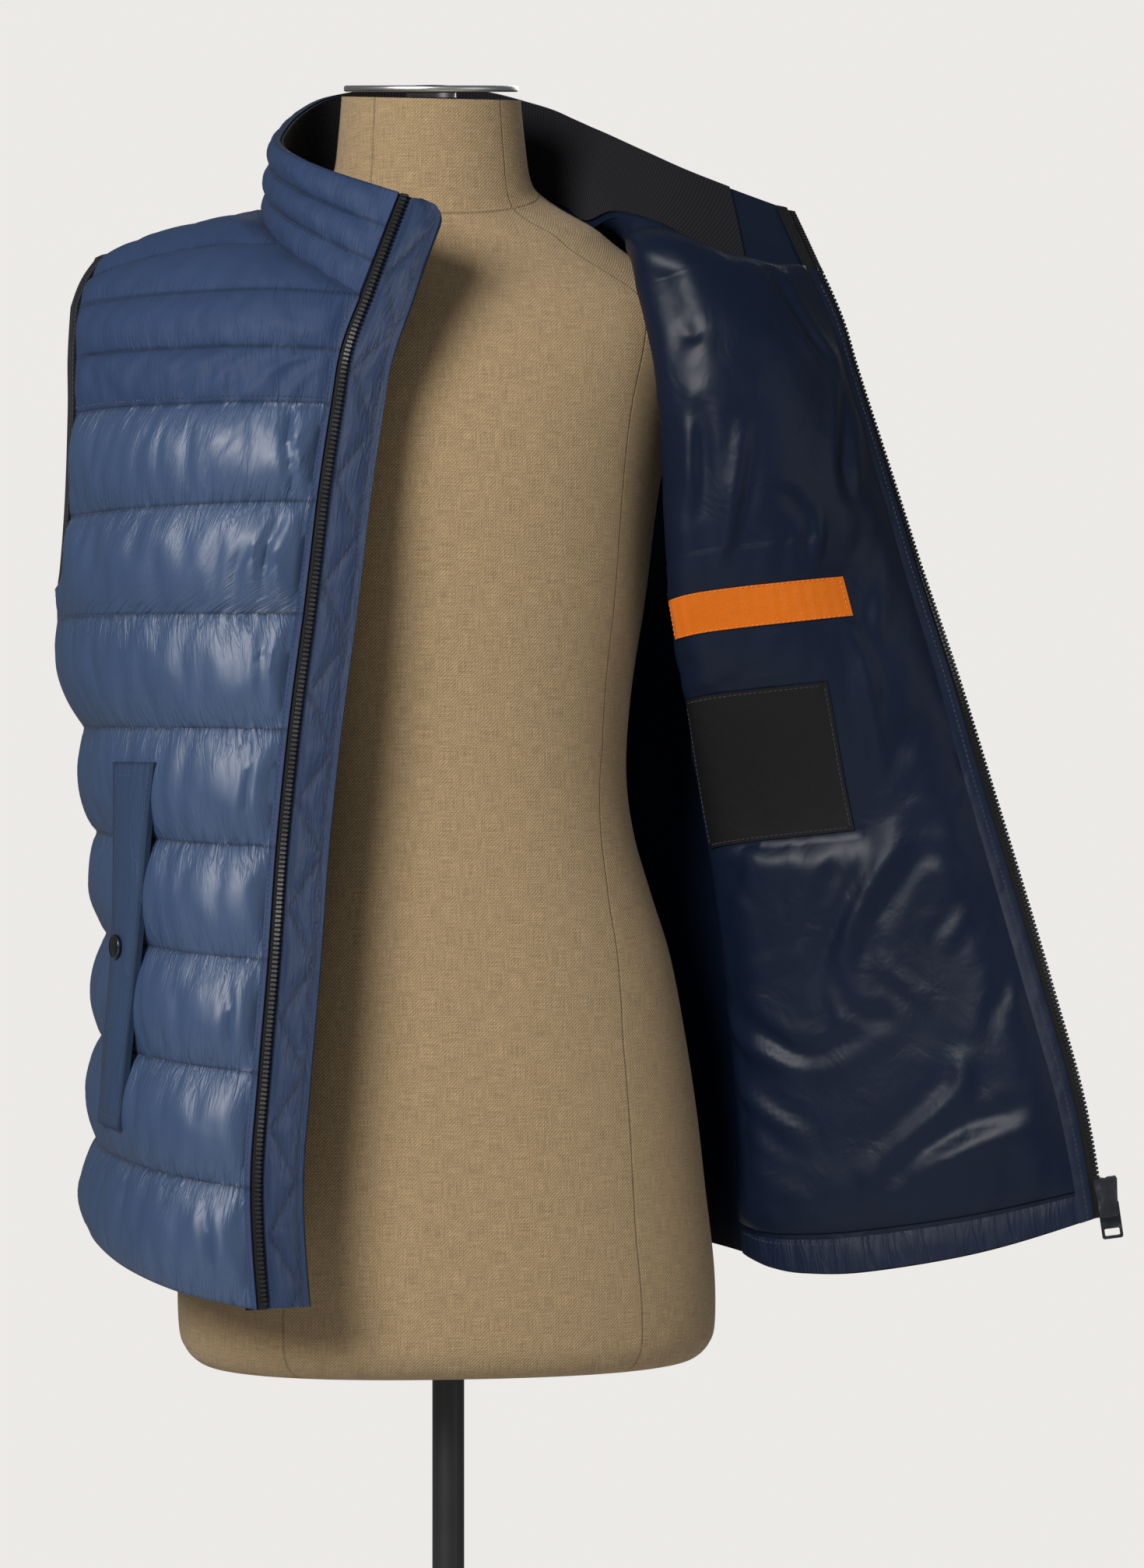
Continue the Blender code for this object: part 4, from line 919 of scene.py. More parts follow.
@finish_of("lining", Specular_IOR_Level=0.18)
def lining_satin(made):
    cloth, place = made.cloth(), made.place()
    patches = cloud(place, 90)
    made.colour(patches, "lining", 0.75, 1.35)
    made.roughness(patches.graded(0.1, 0.31))
    made.bumps((noise_of(place, 30.0, 3.0, 0.5, 0.9), 1.1), (weave(cloth, 0.35, 0.9), 0.03))


@finish_of("knit", Sheen_Weight=0.04, Sheen_Roughness=0.6, Specular_IOR_Level=0.15)
def knitted(made):
    cloth = made.cloth()
    height = ribs(cloth, 2.4)
    made.colour(height, "knit", 0.4, 2.2)
    made.roughness(0.9)
    made.bumps((height, 0.5), (noise_of(cloth, 1.6, 3.0, 0.7), 0.25))


@finish_of("elastic", Sheen_Weight=0.04, Sheen_Roughness=0.5, Specular_IOR_Level=0.25)
def elastic(made):
    cloth = made.cloth()
    height = ribs(cloth, 1.1)
    made.colour(height, "knit", 0.6, 2.6)
    made.roughness(0.75)
    made.bumps((height, 0.3), (noise_of(cloth, 0.5, 2.0, 0.6), 0.15))


@finish_of("zip_tape", Specular_IOR_Level=0.25)
def zip_tape(made):
    height = herringbone(made.cloth(), 0.8, 2.2)
    made.colour(height, "zip", 0.6, 2.4)
    made.roughness(0.7)
    made.bumps((height, 0.12))


@finish_of("zip_teeth", Specular_IOR_Level=0.65)
def zip_teeth(made):
    place = made.place()
    patches = cloud(place, 20)
    made.colour(patches, "zip", 0.8, 1.9)
    made.roughness(patches.graded(0.16, 0.2))
    made.bumps((noise_of(place, 900.0, 2.0), 0.04))


@finish_of("gunmetal", Metallic=1.0, Specular_IOR_Level=0.5)
def plated(made):
    """Dark plated metal with rubbed, brighter patches."""
    place = made.place()
    patches = cloud(place, 9)
    made.colour(spread(patches, 0.52, 0.75), "gunmetal", 2.2, 5.0)
    made.roughness(patches.graded(0.2, 0.22))
    made.bumps((noise_of(place, 1200.0, 2.0), 0.02))


@finish_of("pocket_tape", Sheen_Weight=0.04, Specular_IOR_Level=0.2)
def orange_tape(made):
    cloth = made.cloth()
    height = herringbone(cloth, 1.25, 4.2)
    made.colour(height, "orange", 0.55, 1.1)
    made.roughness(0.62)
    made.bumps((height, 0.22), (noise_of(cloth, 0.09, 2.0), 0.5))


@finish_of("label", Specular_IOR_Level=0.22)
def label_satin(made):
    cloth = made.cloth()
    height = weave(cloth, 0.3, 1.0)
    made.colour(height, "label", 0.7, 2.4)
    made.roughness(0.5)
    made.bumps((height, 0.05), (noise_of(cloth, 0.05, 2.0), 0.9))


def spun(name, colour, share):
    """Sewing thread, twisted out of plies."""

    @finish_of(name, Sheen_Weight=0.3, Specular_IOR_Level=0.4)
    def wire_up(made):
        plies = noise_of(made.place(), 1500.0, 2.0)
        made.colour(plies, colour, share * 0.7, share * 1.5)
        made.roughness(0.6)
        made.bumps((plies, 0.08))


# The quilting thread is darker than the shell: partly its own dark navy, partly painted shade of the holes it
# sinks into.
spun("thread", "shell", 0.35)
spun("black_thread", "knit", 3.5)
spun("orange_thread", "orange", 1)


@finish_of("linen", Sheen_Weight=0.1, Sheen_Roughness=0.6, Specular_IOR_Level=0.15)
def linen(made):
    cloth, place = made.cloth(), made.place()
    across, along = slubs(cloth, 0.6, 14.0)
    threads = (across + along) * 0.5
    mottle = threads.graded(0.8, noise_of(cloth, 0.85, 2.0, 0.6) * 0.2)
    light = spread(mottle, 0.4, 0.6, kind="LINEAR")
    woven = blended(light, tint("linen", 0.68), tint("linen", 1.32))
    over = weave(cloth, 1.1, 1.1)
    picked = blended(spread(over, 0.1, 0.7, 0.55, 0.0), woven, tint("linen", 0.35))
    aged = blended(cloud(place, 160) * 0.2, picked, tint("linen", 0.78))
    thick = spread(across.math("MAXIMUM", along), 0.7, 0.84, 0.0, 0.3)
    slubbed = blended(thick, aged, tint("linen", 1.45))
    shade = seam_shade(made.seam(), 1.1)
    made.paint(blended(shade * 0.35, slubbed, tint("linen", 0.3)))
    made.roughness(0.9)
    made.bumps((shade * -1.0, 0.6), (threads, 0.5), (over, 0.22))


@finish_of("brushed_cap", Metallic=1.0, Anisotropic=0.4)
def brushed_steel(made):
    lines = noise_of(scaled(made.cloth(), (6.0, 0.15, 1.0)), 1.0, 3.0, 0.7)
    made.colour(lines, "steel", 0.8, 1.1)
    made.roughness(lines.graded(0.2, 0.22))
    made.bumps((lines, 0.03))


@finish_of("black_metal", Specular_IOR_Level=0.5, Coat_Weight=0.15, Coat_Roughness=0.3)
def black_paint(made):
    place = made.place()
    patches = cloud(place, 45)
    made.colour(patches, "paint", 0.75, 1.5)
    made.roughness(patches.graded(0.14, 0.34))
    made.bumps((noise_of(place, 700.0, 2.0), 0.06))


@finish_of("floor")
def studio_floor(made):
    place = made.place()
    made.colour(cloud(place, 700), "floor", 0.97, 1.02)
    made.roughness(0.85)
    made.bumps((noise_of(place, 60.0, 3.0), 0.2))


made_finishes = {}


def finish(name):
    if name not in made_finishes:
        made_finishes[name] = FINISHES[name]()
    return made_finishes[name]


# Quilted shell


YOKE_FULLNESS = 0.4
GATHER_STEPS = 8
LEAST_HEIGHT = 1.4
SECOND_SEAM = 0.075


def on_seam(rows):
    return np.isclose(rows, np.round(rows), atol=1e-6)


class ClothSheet:
    """The cloth of one panel: a grid sewn down at its seams and edges, which the padding pushes out.
    Its limit is how far it may settle from its smooth start, in millimetres."""

    def __init__(self, name, panel, rows, stations, inner, normals, outer, thickness, sewn, limit=4.0):
        self.name, self.panel = name, panel
        self.rows, self.stations = rows, stations
        self.inner, self.normals, self.outer = inner, normals, outer
        self.thickness, self.sewn, self.limit = thickness, sewn, limit

    def ruffle(self, seed):
        """Small uneven bumps that the cloth's folds start from."""
        free = ~self.sewn
        small = noise_field(self.outer, 9, seed, (1, 1, 0.22))
        bumps = small + 0.7 * noise_field(self.outer, 20, seed + 5, (1, 1, 0.4))
        self.start = self.outer + self.normals * (0.7 * bumps * free)[..., None]

    def settle_with(self):
        """An object with Blender's cloth on it, pinned along the seams."""
        rows, columns = self.rows.shape
        mesh = bpy.data.meshes.new(self.name + "_cloth")
        row, column = rows // 2, columns // 2
        here = self.outer[row, column]
        facing = np.cross(self.outer[row, column + 1] - here, self.outer[row + 1, column] - here)
        faces = grid_faces(rows, columns, 0, facing @ self.normals[row, column] < 0)
        mesh.from_pydata((self.start.reshape(-1, 3) * MM).tolist(), [], faces)
        sheet = bpy.data.objects.new(self.name + "_cloth", mesh)
        bpy.context.scene.collection.objects.link(sheet)
        seams = sheet.vertex_groups.new(name="seams")
        seams.add(np.flatnonzero(self.sewn.ravel()).tolist(), 1, "REPLACE")
        cloth = sheet.modifiers.new("Cloth", "CLOTH")
        settings = cloth.settings
        settings.quality = 4
        settings.mass = 0.0006
        settings.air_damping = 1
        settings.tension_stiffness = settings.compression_stiffness = 60
        settings.shear_stiffness = 20
        settings.bending_stiffness = 0.004
        settings.tension_damping = settings.compression_damping = 2
        settings.vertex_group_mass = "seams"
        sheet.shape_key_add(name="sewn")
        cut = sheet.shape_key_add(name="cut")
        share = YOKE_FULLNESS + (1 - YOKE_FULLNESS) * ramp(self.rows, YOKE_ROW - 1, YOKE_ROW)
        wide = 1 + sizes().fullness * share.reshape(-1, 1)
        points = self.start.reshape(-1, 3)
        middle = points.mean(axis=0)
        growth = np.concatenate([wide, wide, np.full(wide.shape, 1.015)], axis=1)
        spread_out = middle + (points - middle) * growth
        cut.data.foreach_set("co", (spread_out * MM).ravel().astype(np.float32))
        for value, frame_number in ((1, 1), (0, GATHER_STEPS)):
            cut.value = value
            cut.keyframe_insert("value", frame=frame_number)
        settings.use_pressure = True
        settings.uniform_pressure_force = sizes().filling
        settings.effector_weights.gravity = 0
        cloth.collision_settings.use_collision = False
        cloth.collision_settings.use_self_collision = False
        cloth.point_cache.frame_end = sizes().settle_steps
        return sheet

    def take(self, settled):
        """Keeps the settled cloth, but near the smooth padding and clear of the inner face."""
        moved = settled - self.outer
        for axis in (0, 1):
            ahead, behind = (np.roll(moved, way, axis=axis) for way in (1, -1))
            moved = np.where(self.sewn[..., None], moved, (ahead + 2 * moved + behind) / 4)
        long = np.linalg.norm(moved, axis=-1, keepdims=True)
        moved *= np.minimum(1, self.limit / np.maximum(long, 1e-9))
        self.outer = self.outer + moved
        height = ((self.outer - self.inner) * self.normals).sum(-1)
        self.outer += self.normals * np.maximum(0, LEAST_HEIGHT - height)[..., None] * ~self.sewn[..., None]

    def crease(self, table):
        """Creases, listed one by one: depth and half width in millimetres, then the rows and stations it runs
        through. A depth below zero is a ridge."""
        for depth, wide, *line in table:
            steps = np.linspace(0, len(line) - 1, 40)
            rows, stations = (np.interp(steps, range(len(line)), values) for values in zip(*line))
            path = self.panel.points(rows, stations)
            apart = np.linalg.norm(self.inner[..., None, :] - path, axis=-1)
            share = apart.argmin(axis=-1) / (len(path) - 1)
            away = apart.min(axis=-1)
            fade = np.sin(np.pi * np.clip(share * 0.9 + 0.05, 0, 1)) ** 0.6
            beside = np.exp(-(((away - 2.2 * wide) / (1.2 * wide)) ** 2))
            profile = np.exp(-((away / wide) ** 2)) - 0.5 * beside
            room = np.maximum(self.thickness - WALL + 0.8, 0.3)
            amount = np.minimum(depth, room) * profile * fade * ~self.sewn
            self.outer -= self.normals * amount[..., None]

    def seam_distance(self):
        length = arc(self.inner, 0)
        return np.abs(length[:, None] - length[None, on_seam(self.rows[:, 0])]).min(axis=1)

    def shell(self, finishes, far_finish):
        """The closed padded panel between its inner face and the settled cloth."""
        near, far = (self.drawn_in(grid) for grid in (self.inner, self.outer))
        uv = np.stack([arc(self.inner, 1), arc(self.inner, 0)], axis=-1)
        return thick_sheet(self.name, near, far, finishes, uv, far_finish, self.seam_distance())

    @staticmethod
    def drawn_in(points):
        moved = points.copy()
        for here, inside in ((0, 1), (-1, -2)):
            moved[here] += SEAM_GAP * unit(points[inside] - points[here])
            moved[:, here] += SEAM_GAP * unit(points[:, inside] - points[:, here])
        return moved


def quilted(name, panel, rows, stations, thickness, leans=()):
    """The cloth of a padded panel. Leans are places where its normals lean to meet the next panel's."""
    rows, stations = np.meshgrid(rows, stations, indexing="ij")
    inner, normals, _ = panel.frames(rows, stations)
    for place, leaning in leans:
        normals[place] = leaning
    deep = thickness(inner, rows, stations)
    sewn = on_seam(rows)
    sewn[:, [0, -1]] = True
    outer = inner + normals * deep[..., None]
    return ClothSheet(name, panel, rows, stations, inner, normals, outer, deep, sewn)


def settle(sheets):
    """Lets the cloth of all the sheets settle together, and takes the result."""
    for seed, sheet in enumerate(sheets, 3):
        sheet.ruffle(seed)
    scene = bpy.context.scene
    objects = [sheet.settle_with() for sheet in sheets]
    first = scene.frame_current
    for step in range(1, sizes().settle_steps + 1):
        scene.frame_set(step)
    graph = bpy.context.evaluated_depsgraph_get()
    for sheet, made in zip(sheets, objects):
        mesh = made.evaluated_get(graph).data
        places = np.empty(len(mesh.vertices) * 3, np.float32)
        mesh.vertices.foreach_get("co", places)
        sheet.take(places.reshape(sheet.outer.shape).astype(float) / MM)
    for made in objects:
        mesh, moves = made.data, made.data.shape_keys.animation_data.action
        bpy.data.objects.remove(made)
        bpy.data.meshes.remove(mesh)
        bpy.data.actions.remove(moves)
    scene.frame_set(first)


def shoulder_leans(front, stations, neck_side, side):
    ratio = front.last_station / (neck_side - side)
    on_front = front.frames(0, stations)[1]
    return midway(on_front, back_panel.frames(0, side + stations / ratio)[1])


def front_sheet(name, front, thickness, side, neck_side, zip_edge, strip_start):
    step = sizes().cloth_step / MM
    stations = np.concatenate(
        [front.even_stations(0, strip_start, step), np.linspace(strip_start, zip_edge, 4)[1:]]
    )
    rows = quilt_rows(0, HEM_ROW, BODY_STEPS)
    low = rows >= ROW_PLACES[UNDERARM_ROW]
    neck = rows <= NECK_CORNER_ROW
    shoulder = shoulder_leans(front, stations, neck_side, side)
    edge = midway(front.frames(rows[low], 0)[1], back_panel.frames(rows[low], side)[1])
    left = side > 0
    at_neck = neck_leans(neck_station(rows[neck], left))
    leans = (((0, slice(None)), shoulder), ((low, 0), edge), ((neck, -1), at_neck))
    sheet = quilted(name, front, rows, stations, thickness, leans)
    sheet.sewn |= (sheet.rows < ROW_PLACES[UNDERARM_ROW]) & (arc(sheet.inner, 1) < BINDING_REACH + 1)
    sheet.sewn |= sheet.stations >= strip_start - 1e-6
    return sheet


def back_sheet():
    step = sizes().cloth_step / MM
    neck_from, neck_to = BACK_NECK
    parts = ((0, neck_from), (neck_from, neck_to), (neck_to, BACK_SIDES))
    stations = np.concatenate([[0], *(back_panel.even_stations(*ends, step, 3)[1:] for ends in parts)])
    rows = quilt_rows(0, HEM_ROW, BODY_STEPS)
    low = rows >= ROW_PLACES[UNDERARM_ROW]
    leans = []
    sides = ((right_panel, 0, neck_from, 0), (left_panel, BACK_SIDES, neck_to, -1))
    for front, side, neck_side, column in sides:
        beyond = np.abs(stations - side) <= abs(neck_side - side)
        ratio = front.last_station / (neck_side - side)
        places = (stations[beyond] - side) * ratio
        leans.append(((0, beyond), shoulder_leans(front, places, neck_side, side)))
        edge = midway(front.frames(rows[low], 0)[1], back_panel.frames(rows[low], side)[1])
        leans.append(((low, column), edge))
    on_neck = (stations >= neck_from) & (stations <= neck_to)
    leans.append(((0, on_neck), neck_leans(np.interp(stations[on_neck], BACK_NECK, COLLAR_AT_SHOULDERS))))
    sheet = quilted("back_shell", back_panel, rows, stations, back_thickness, leans)
    length = arc(sheet.inner, 1)
    near = np.minimum(length, length[:, -1:] - length)
    sheet.sewn |= (sheet.rows < ROW_PLACES[UNDERARM_ROW]) & (near < BINDING_REACH + 1)
    return sheet


def collar_sheet():
    last = COLLAR_TOP[-1][0]
    stations = collar_panel.even_stations(0, last, sizes().cloth_step / MM, 1.5)
    rows = quilt_rows(0, COLLAR_SEAMS, 8)
    leans = (((-1, slice(None)), neck_leans(stations)),)
    sheet = quilted("collar_shell", collar_panel, rows, stations, collar_thickness, leans)
    sheet.sewn |= (sheet.stations < 0.3) | (sheet.stations > last - 0.3)
    sheet.limit = 2.2
    return sheet


RIGHT_CREASES = (
    (0.9, 3.0, (2.2, 2.7), (2.6, 2.68), (2.96, 2.73)),
    (1.4, 3.0, (3.05, 2.73), (3.25, 2.73), (3.7, 2.83), (3.97, 2.83)),
    (1.2, 3.0, (3.45, 3.48), (3.77, 3.4), (3.98, 3.4)),
    (1.6, 2.0, (4.3, 3.0), (4.63, 2.7), (4.77, 2.6)),
    (1.6, 2.0, (4.1, 2.05), (4.4, 1.98), (4.7, 2.0)),
    (3.4, 2.6, (4.03, 3.53), (4.43, 3.55), (4.77, 3.65), (4.98, 3.68)),
    (3.6, 2.8, (5.1, 3.62), (5.37, 3.48), (5.67, 3.5), (5.9, 3.6)),
    (2.0, 2.4, (5.37, 3.28), (5.6, 3.18), (5.93, 3.25)),
    (2.4, 2.6, (6.07, 3.65), (6.43, 3.62), (6.8, 3.7)),
    (2.4, 2.4, (7.1, 3.55), (7.4, 3.62), (7.85, 3.6)),
    (2.6, 2.6, (9.05, 3.5), (9.5, 3.62), (9.9, 3.58)),
    (2.4, 2.6, (11.1, 3.4), (11.5, 3.5), (11.9, 3.45)),
)
LEFT_CREASES = (
    (2.4, 2.4, (4.1, 5.5), (4.5, 5.4), (4.9, 5.5)),
    (2.6, 2.6, (6.1, 5.4), (6.5, 5.5), (6.9, 5.4)),
    (2.4, 2.4, (8.1, 5.5), (8.5, 5.4), (8.9, 5.45)),
)
BACK_CREASES = (
    (2.2, 2.4, (4.1, 0.9), (4.5, 1.0), (4.9, 0.9)),
    (2.2, 2.4, (5.1, 7.1), (5.5, 7.0), (5.9, 7.15)),
    (2.0, 2.6, (7.1, 4.2), (7.5, 4.0), (7.9, 4.1)),
)


def make_shells():
    right_strip, left_strip = RIGHT_ZIP - ZIP_STRIP, LEFT_ZIP - ZIP_STRIP + 0.02
    right_ends, left_ends = (0, BACK_NECK[0], RIGHT_ZIP), (BACK_SIDES, BACK_NECK[1], LEFT_ZIP)
    right = front_sheet("right_front_shell", right_panel, right_thickness, *right_ends, right_strip)
    left = front_sheet("left_front_shell", left_panel, left_thickness, *left_ends, left_strip)
    sheets = (right, left, back_sheet(), collar_sheet())
    settle(sheets)
    creases = (RIGHT_CREASES, LEFT_CREASES, BACK_CREASES, ())
    for sheet, folds, node in zip(sheets, creases, ("right_front", "left_front", "back", "collar")):
        sheet.crease(folds)
        matte = (sheet.rows[:-1, :-1] < YOKE_ROW - 1e-6) | (node == "collar")
        if sheet in (right, left):
            matte |= sheet.stations[:-1, :-1] >= sheet.panel.last_station - ZIP_STRIP - 1e-6
        piece = sheet.shell(("matte_nylon", "glossy_nylon", "lining"), np.where(matte, 0, 1))
        seat(piece, STAND, "shell", node)
        sew_quilting(sheet, piece.name)


def sew_quilting(sheet, name):
    """The quilting stitches of a panel, and a second row above the yoke seam."""
    sewing = Stitching()
    rows = sheet.rows[:, 0]
    seams = list(range(1, round(rows[-1])))
    if YOKE_ROW in seams:
        seams.insert(YOKE_ROW, YOKE_ROW - SECOND_SEAM)
    columns = slice(2, -2)
    for seam in seams:
        at = np.interp(seam, rows, np.arange(len(rows)))
        low, high = int(math.floor(at)), int(math.ceil(at))
        share = at - low
        line = sheet.outer[low, columns] * (1 - share) + sheet.outer[high, columns] * share
        sewing.line(line, sheet.normals[low, columns])
    if sheet.panel in (right_panel, left_panel):
        start = int(np.searchsorted(rows, NECK_CORNER_ROW))
        sewing.line(sheet.outer[start:, -3], sheet.normals[start:, -3])
    seat(sewing.make(name.replace("shell", "stitches"), "thread"), STAND, "shell")


# Trim


TAPE = ((-8.2, -1.25), (-3, -1.25), (-0.4, -1.1), (1.0, 0.5), (2.8, 0.75), (5.3, 0.75))
GUARD_STITCH = 4.6
GUARD_LIFT = -1.9
GUARD_CORNER = 16
GUARD_ZIGZAG = 66
FACING_SEAM = 60.0
HEM_SEAM = 9.0


def edge_frames(panel, rows, station, inside):
    """Points, normals and directions out past the panel's edge. Inside is a station a little way in."""
    points, normals, _ = panel.frames(rows, station)
    out = unit(points - panel.points(rows, inside))
    return points, unit(normals - out * (normals * out).sum(axis=-1, keepdims=True)), out


def zip_frames(front, inside, collar_stations):
    """The edge that carries the zip: down the collar's end, then down the front."""
    collar_rows = quilt_rows(0, COLLAR_SEAMS, 8)[:-1]
    front_rows = quilt_rows(NECK_CORNER_ROW, HEM_ROW, 20)
    upper = edge_frames(collar_panel, collar_rows, *collar_stations)
    lower = edge_frames(front, front_rows, front.last_station, inside)
    parts = [np.concatenate(pair) for pair in zip(upper, lower)]
    length = arc(parts[0], 0)
    even = np.linspace(0, length[-1], int(length[-1] / 2.5))
    points, normals, out = (read_at(even, length, part) for part in parts)
    along = unit(np.gradient(points, axis=0))
    for _ in range(400):
        out[1:-1] = (out[:-2] + 2 * out[1:-1] + out[2:]) / 4
        normals[1:-1] = (normals[:-2] + 2 * normals[1:-1] + normals[2:]) / 4
    out = unit(out - along * (out * along).sum(axis=1, keepdims=True))
    facing = np.cross(out, along)
    return points, facing * np.sign((facing * normals).sum(axis=1, keepdims=True)), out


def right_zip_frames():
    return zip_frames(right_panel, RIGHT_ZIP - ZIP_STRIP / 2, (0, 1))


def left_zip_frames():
    ends = collar_panel.last_station, collar_panel.last_station - 1
    return zip_frames(left_panel, LEFT_ZIP - ZIP_STRIP / 2, ends)


def strip_grid(frames, reaches, lift):
    points, normals, out = (part[:, None] for part in frames)
    return points + out * np.asarray(reaches)[..., None] + normals * np.asarray(lift)[..., None]


def make_zips():
    for side, frames in (("right", right_zip_frames()), ("left", left_zip_frames())):
        reaches, lift = np.array(TAPE).T
        near, far = strip_grid(frames, reaches, lift), strip_grid(frames, reaches, lift + 1)
        tape = thick_sheet(side + "_zip_tape_cloth", near, far, ("zip_tape",))
        seat(tape, STAND, "zip", side + "_zip_tape")
        long = arc(frames[0], 0)[-1] * MM
        side + "_front_shell"
        make_teeth(side + "_zip_teeth", frames)


def make_teeth(name, frames):
    """Moulded teeth along the free edge of the tape."""
    length = arc(frames[0], 0)
    low, high = TEETH_REACH
    half = ((low, 1.05), (low + 2.5, 0.85), (low + 3.1, 1.0), (high - 0.4, 1.0), (high, 0.5))
    profile = np.array([(reach, -wide) for reach, wide in half] + [*half[::-1]])
    middle = ((low + high) / 2, 0)
    points, faces = [], []
    for place in np.arange(1.4, length[-1] - 1, sizes().tooth_pitch / MM):
        centre, normal, across = (read_at(place, length, part) for part in frames)
        normal, across = unit(normal), unit(across)
        along = np.cross(normal, across)
        faces += tube_faces(4, len(profile), len(points) * len(profile))
        for lift, share in ((0.1, 0.8), (0.45, 1), (2.3, 1), (2.65, 0.8)):
            flat = (profile - middle) * share + middle
            points.append(centre + flat[:, :1] * across + flat[:, 1:] * along + normal * lift)
    teeth = add_mesh(name, np.concatenate(points), faces, None, ("zip_teeth",), smooth_angle=35)
    seat(teeth, STAND, "zip")


def zigzag(length, inner, outer, repeat, start):
    """Corners of the zigzag quilting, as (distance down the strip, reach across it)."""
    places = np.arange(start, length + repeat, repeat / 2)
    return [(place, outer if number % 2 else inner) for number, place in enumerate(places)]


def make_windguard():
    """The guard behind the zip: a quilted strip with a round top corner, sewn in a zigzag."""
    frames = right_zip_frames()
    length = arc(frames[0], 0)
    near_edge, far_edge = WINDGUARD_REACH
    across = np.linspace(0, 1, 19)
    trim = GUARD_CORNER - np.sqrt(GUARD_CORNER**2 - np.maximum(0, GUARD_CORNER - length) ** 2)
    reaches = near_edge + (far_edge - trim[:, None] - near_edge) * across
    down = np.repeat(length[:, None], len(across), axis=1)
    corners = zigzag(length[-1], 9.5, far_edge - GUARD_STITCH, GUARD_ZIGZAG, -12)
    away = np.full(reaches.shape, 1e9)
    for (a, u), (b, v) in zip(corners, corners[1:]):
        line = np.array((b - a, v - u))
        share = np.clip(((down - a) * line[0] + (reaches - u) * line[1]) / (line @ line), 0, 1)
        away = np.minimum(away, np.hypot(down - a - share * line[0], reaches - u - share * line[1]))
    edge = np.abs(reaches - (far_edge - GUARD_STITCH - trim[:, None]))
    sewn = np.minimum(away, edge)
    swell = 2.3 * (1 - np.exp(-((sewn / 4.0) ** 1.2)))
    middle = strip_grid(frames, reaches, np.full(reaches.shape, -3.2))
    bumps = 0.5 * noise_field(middle, 13, 31) + 0.3 * noise_field(middle, 6, 32)
    swell += bumps * (1 - np.exp(-sewn / 3))
    near = strip_grid(frames, reaches, np.full(reaches.shape, -3.2) - 0.3 * swell)
    far = strip_grid(frames, reaches, GUARD_LIFT + swell * ramp(reaches, 9, 12))
    uv = np.stack([reaches, down], axis=-1)
    guard = thick_sheet("windguard_cloth", near, far, ("guard_nylon",), uv, seam=sewn)
    seat(guard, STAND, "guard", "windguard")
    sewing = Stitching()

    def on_guard(steps):
        places, reach = np.array(steps).T
        base, normal, side = (read_at(places, length, part) for part in frames)
        return base + side * reach[:, None] + normal * GUARD_LIFT, normal

    for (a, u), (b, v) in zip(corners, corners[1:]):
        steps = [(a + (b - a) * s, u + (v - u) * s) for s in np.linspace(0, 1, 16)]
        steps = [step for step in steps if 6 < step[0] < length[-1] - 1]
        if len(steps) > 2:
            sewing.line(*on_guard(steps), lift=0.35)
    steps = [(place, far_edge - GUARD_STITCH) for place in np.arange(GUARD_CORNER, length[-1] - 1, 2.5)]
    sewing.line(*on_guard(steps), lift=0.35)
    seat(sewing.make("windguard_stitches", "thread"), STAND, "guard")


def moved_along(panel, rows, station, moves):
    """The panel's points and normals a short way along its surface from the edge at a station."""
    step = 0.05
    inside = abs(station - step)
    edge = panel.points(rows, station)
    per_station = (panel.points(rows, inside) - edge) / (inside - station)
    per_row = (panel.points(rows + step, station) - edge) / step
    axes = np.stack([per_row, per_station], axis=-1)
    down, across = np.array([np.linalg.lstsq(pair, move, rcond=None)[0] for pair, move in zip(axes, moves)]).T
    return panel.frames(np.maximum(rows + down, 0), station + across)[:2]


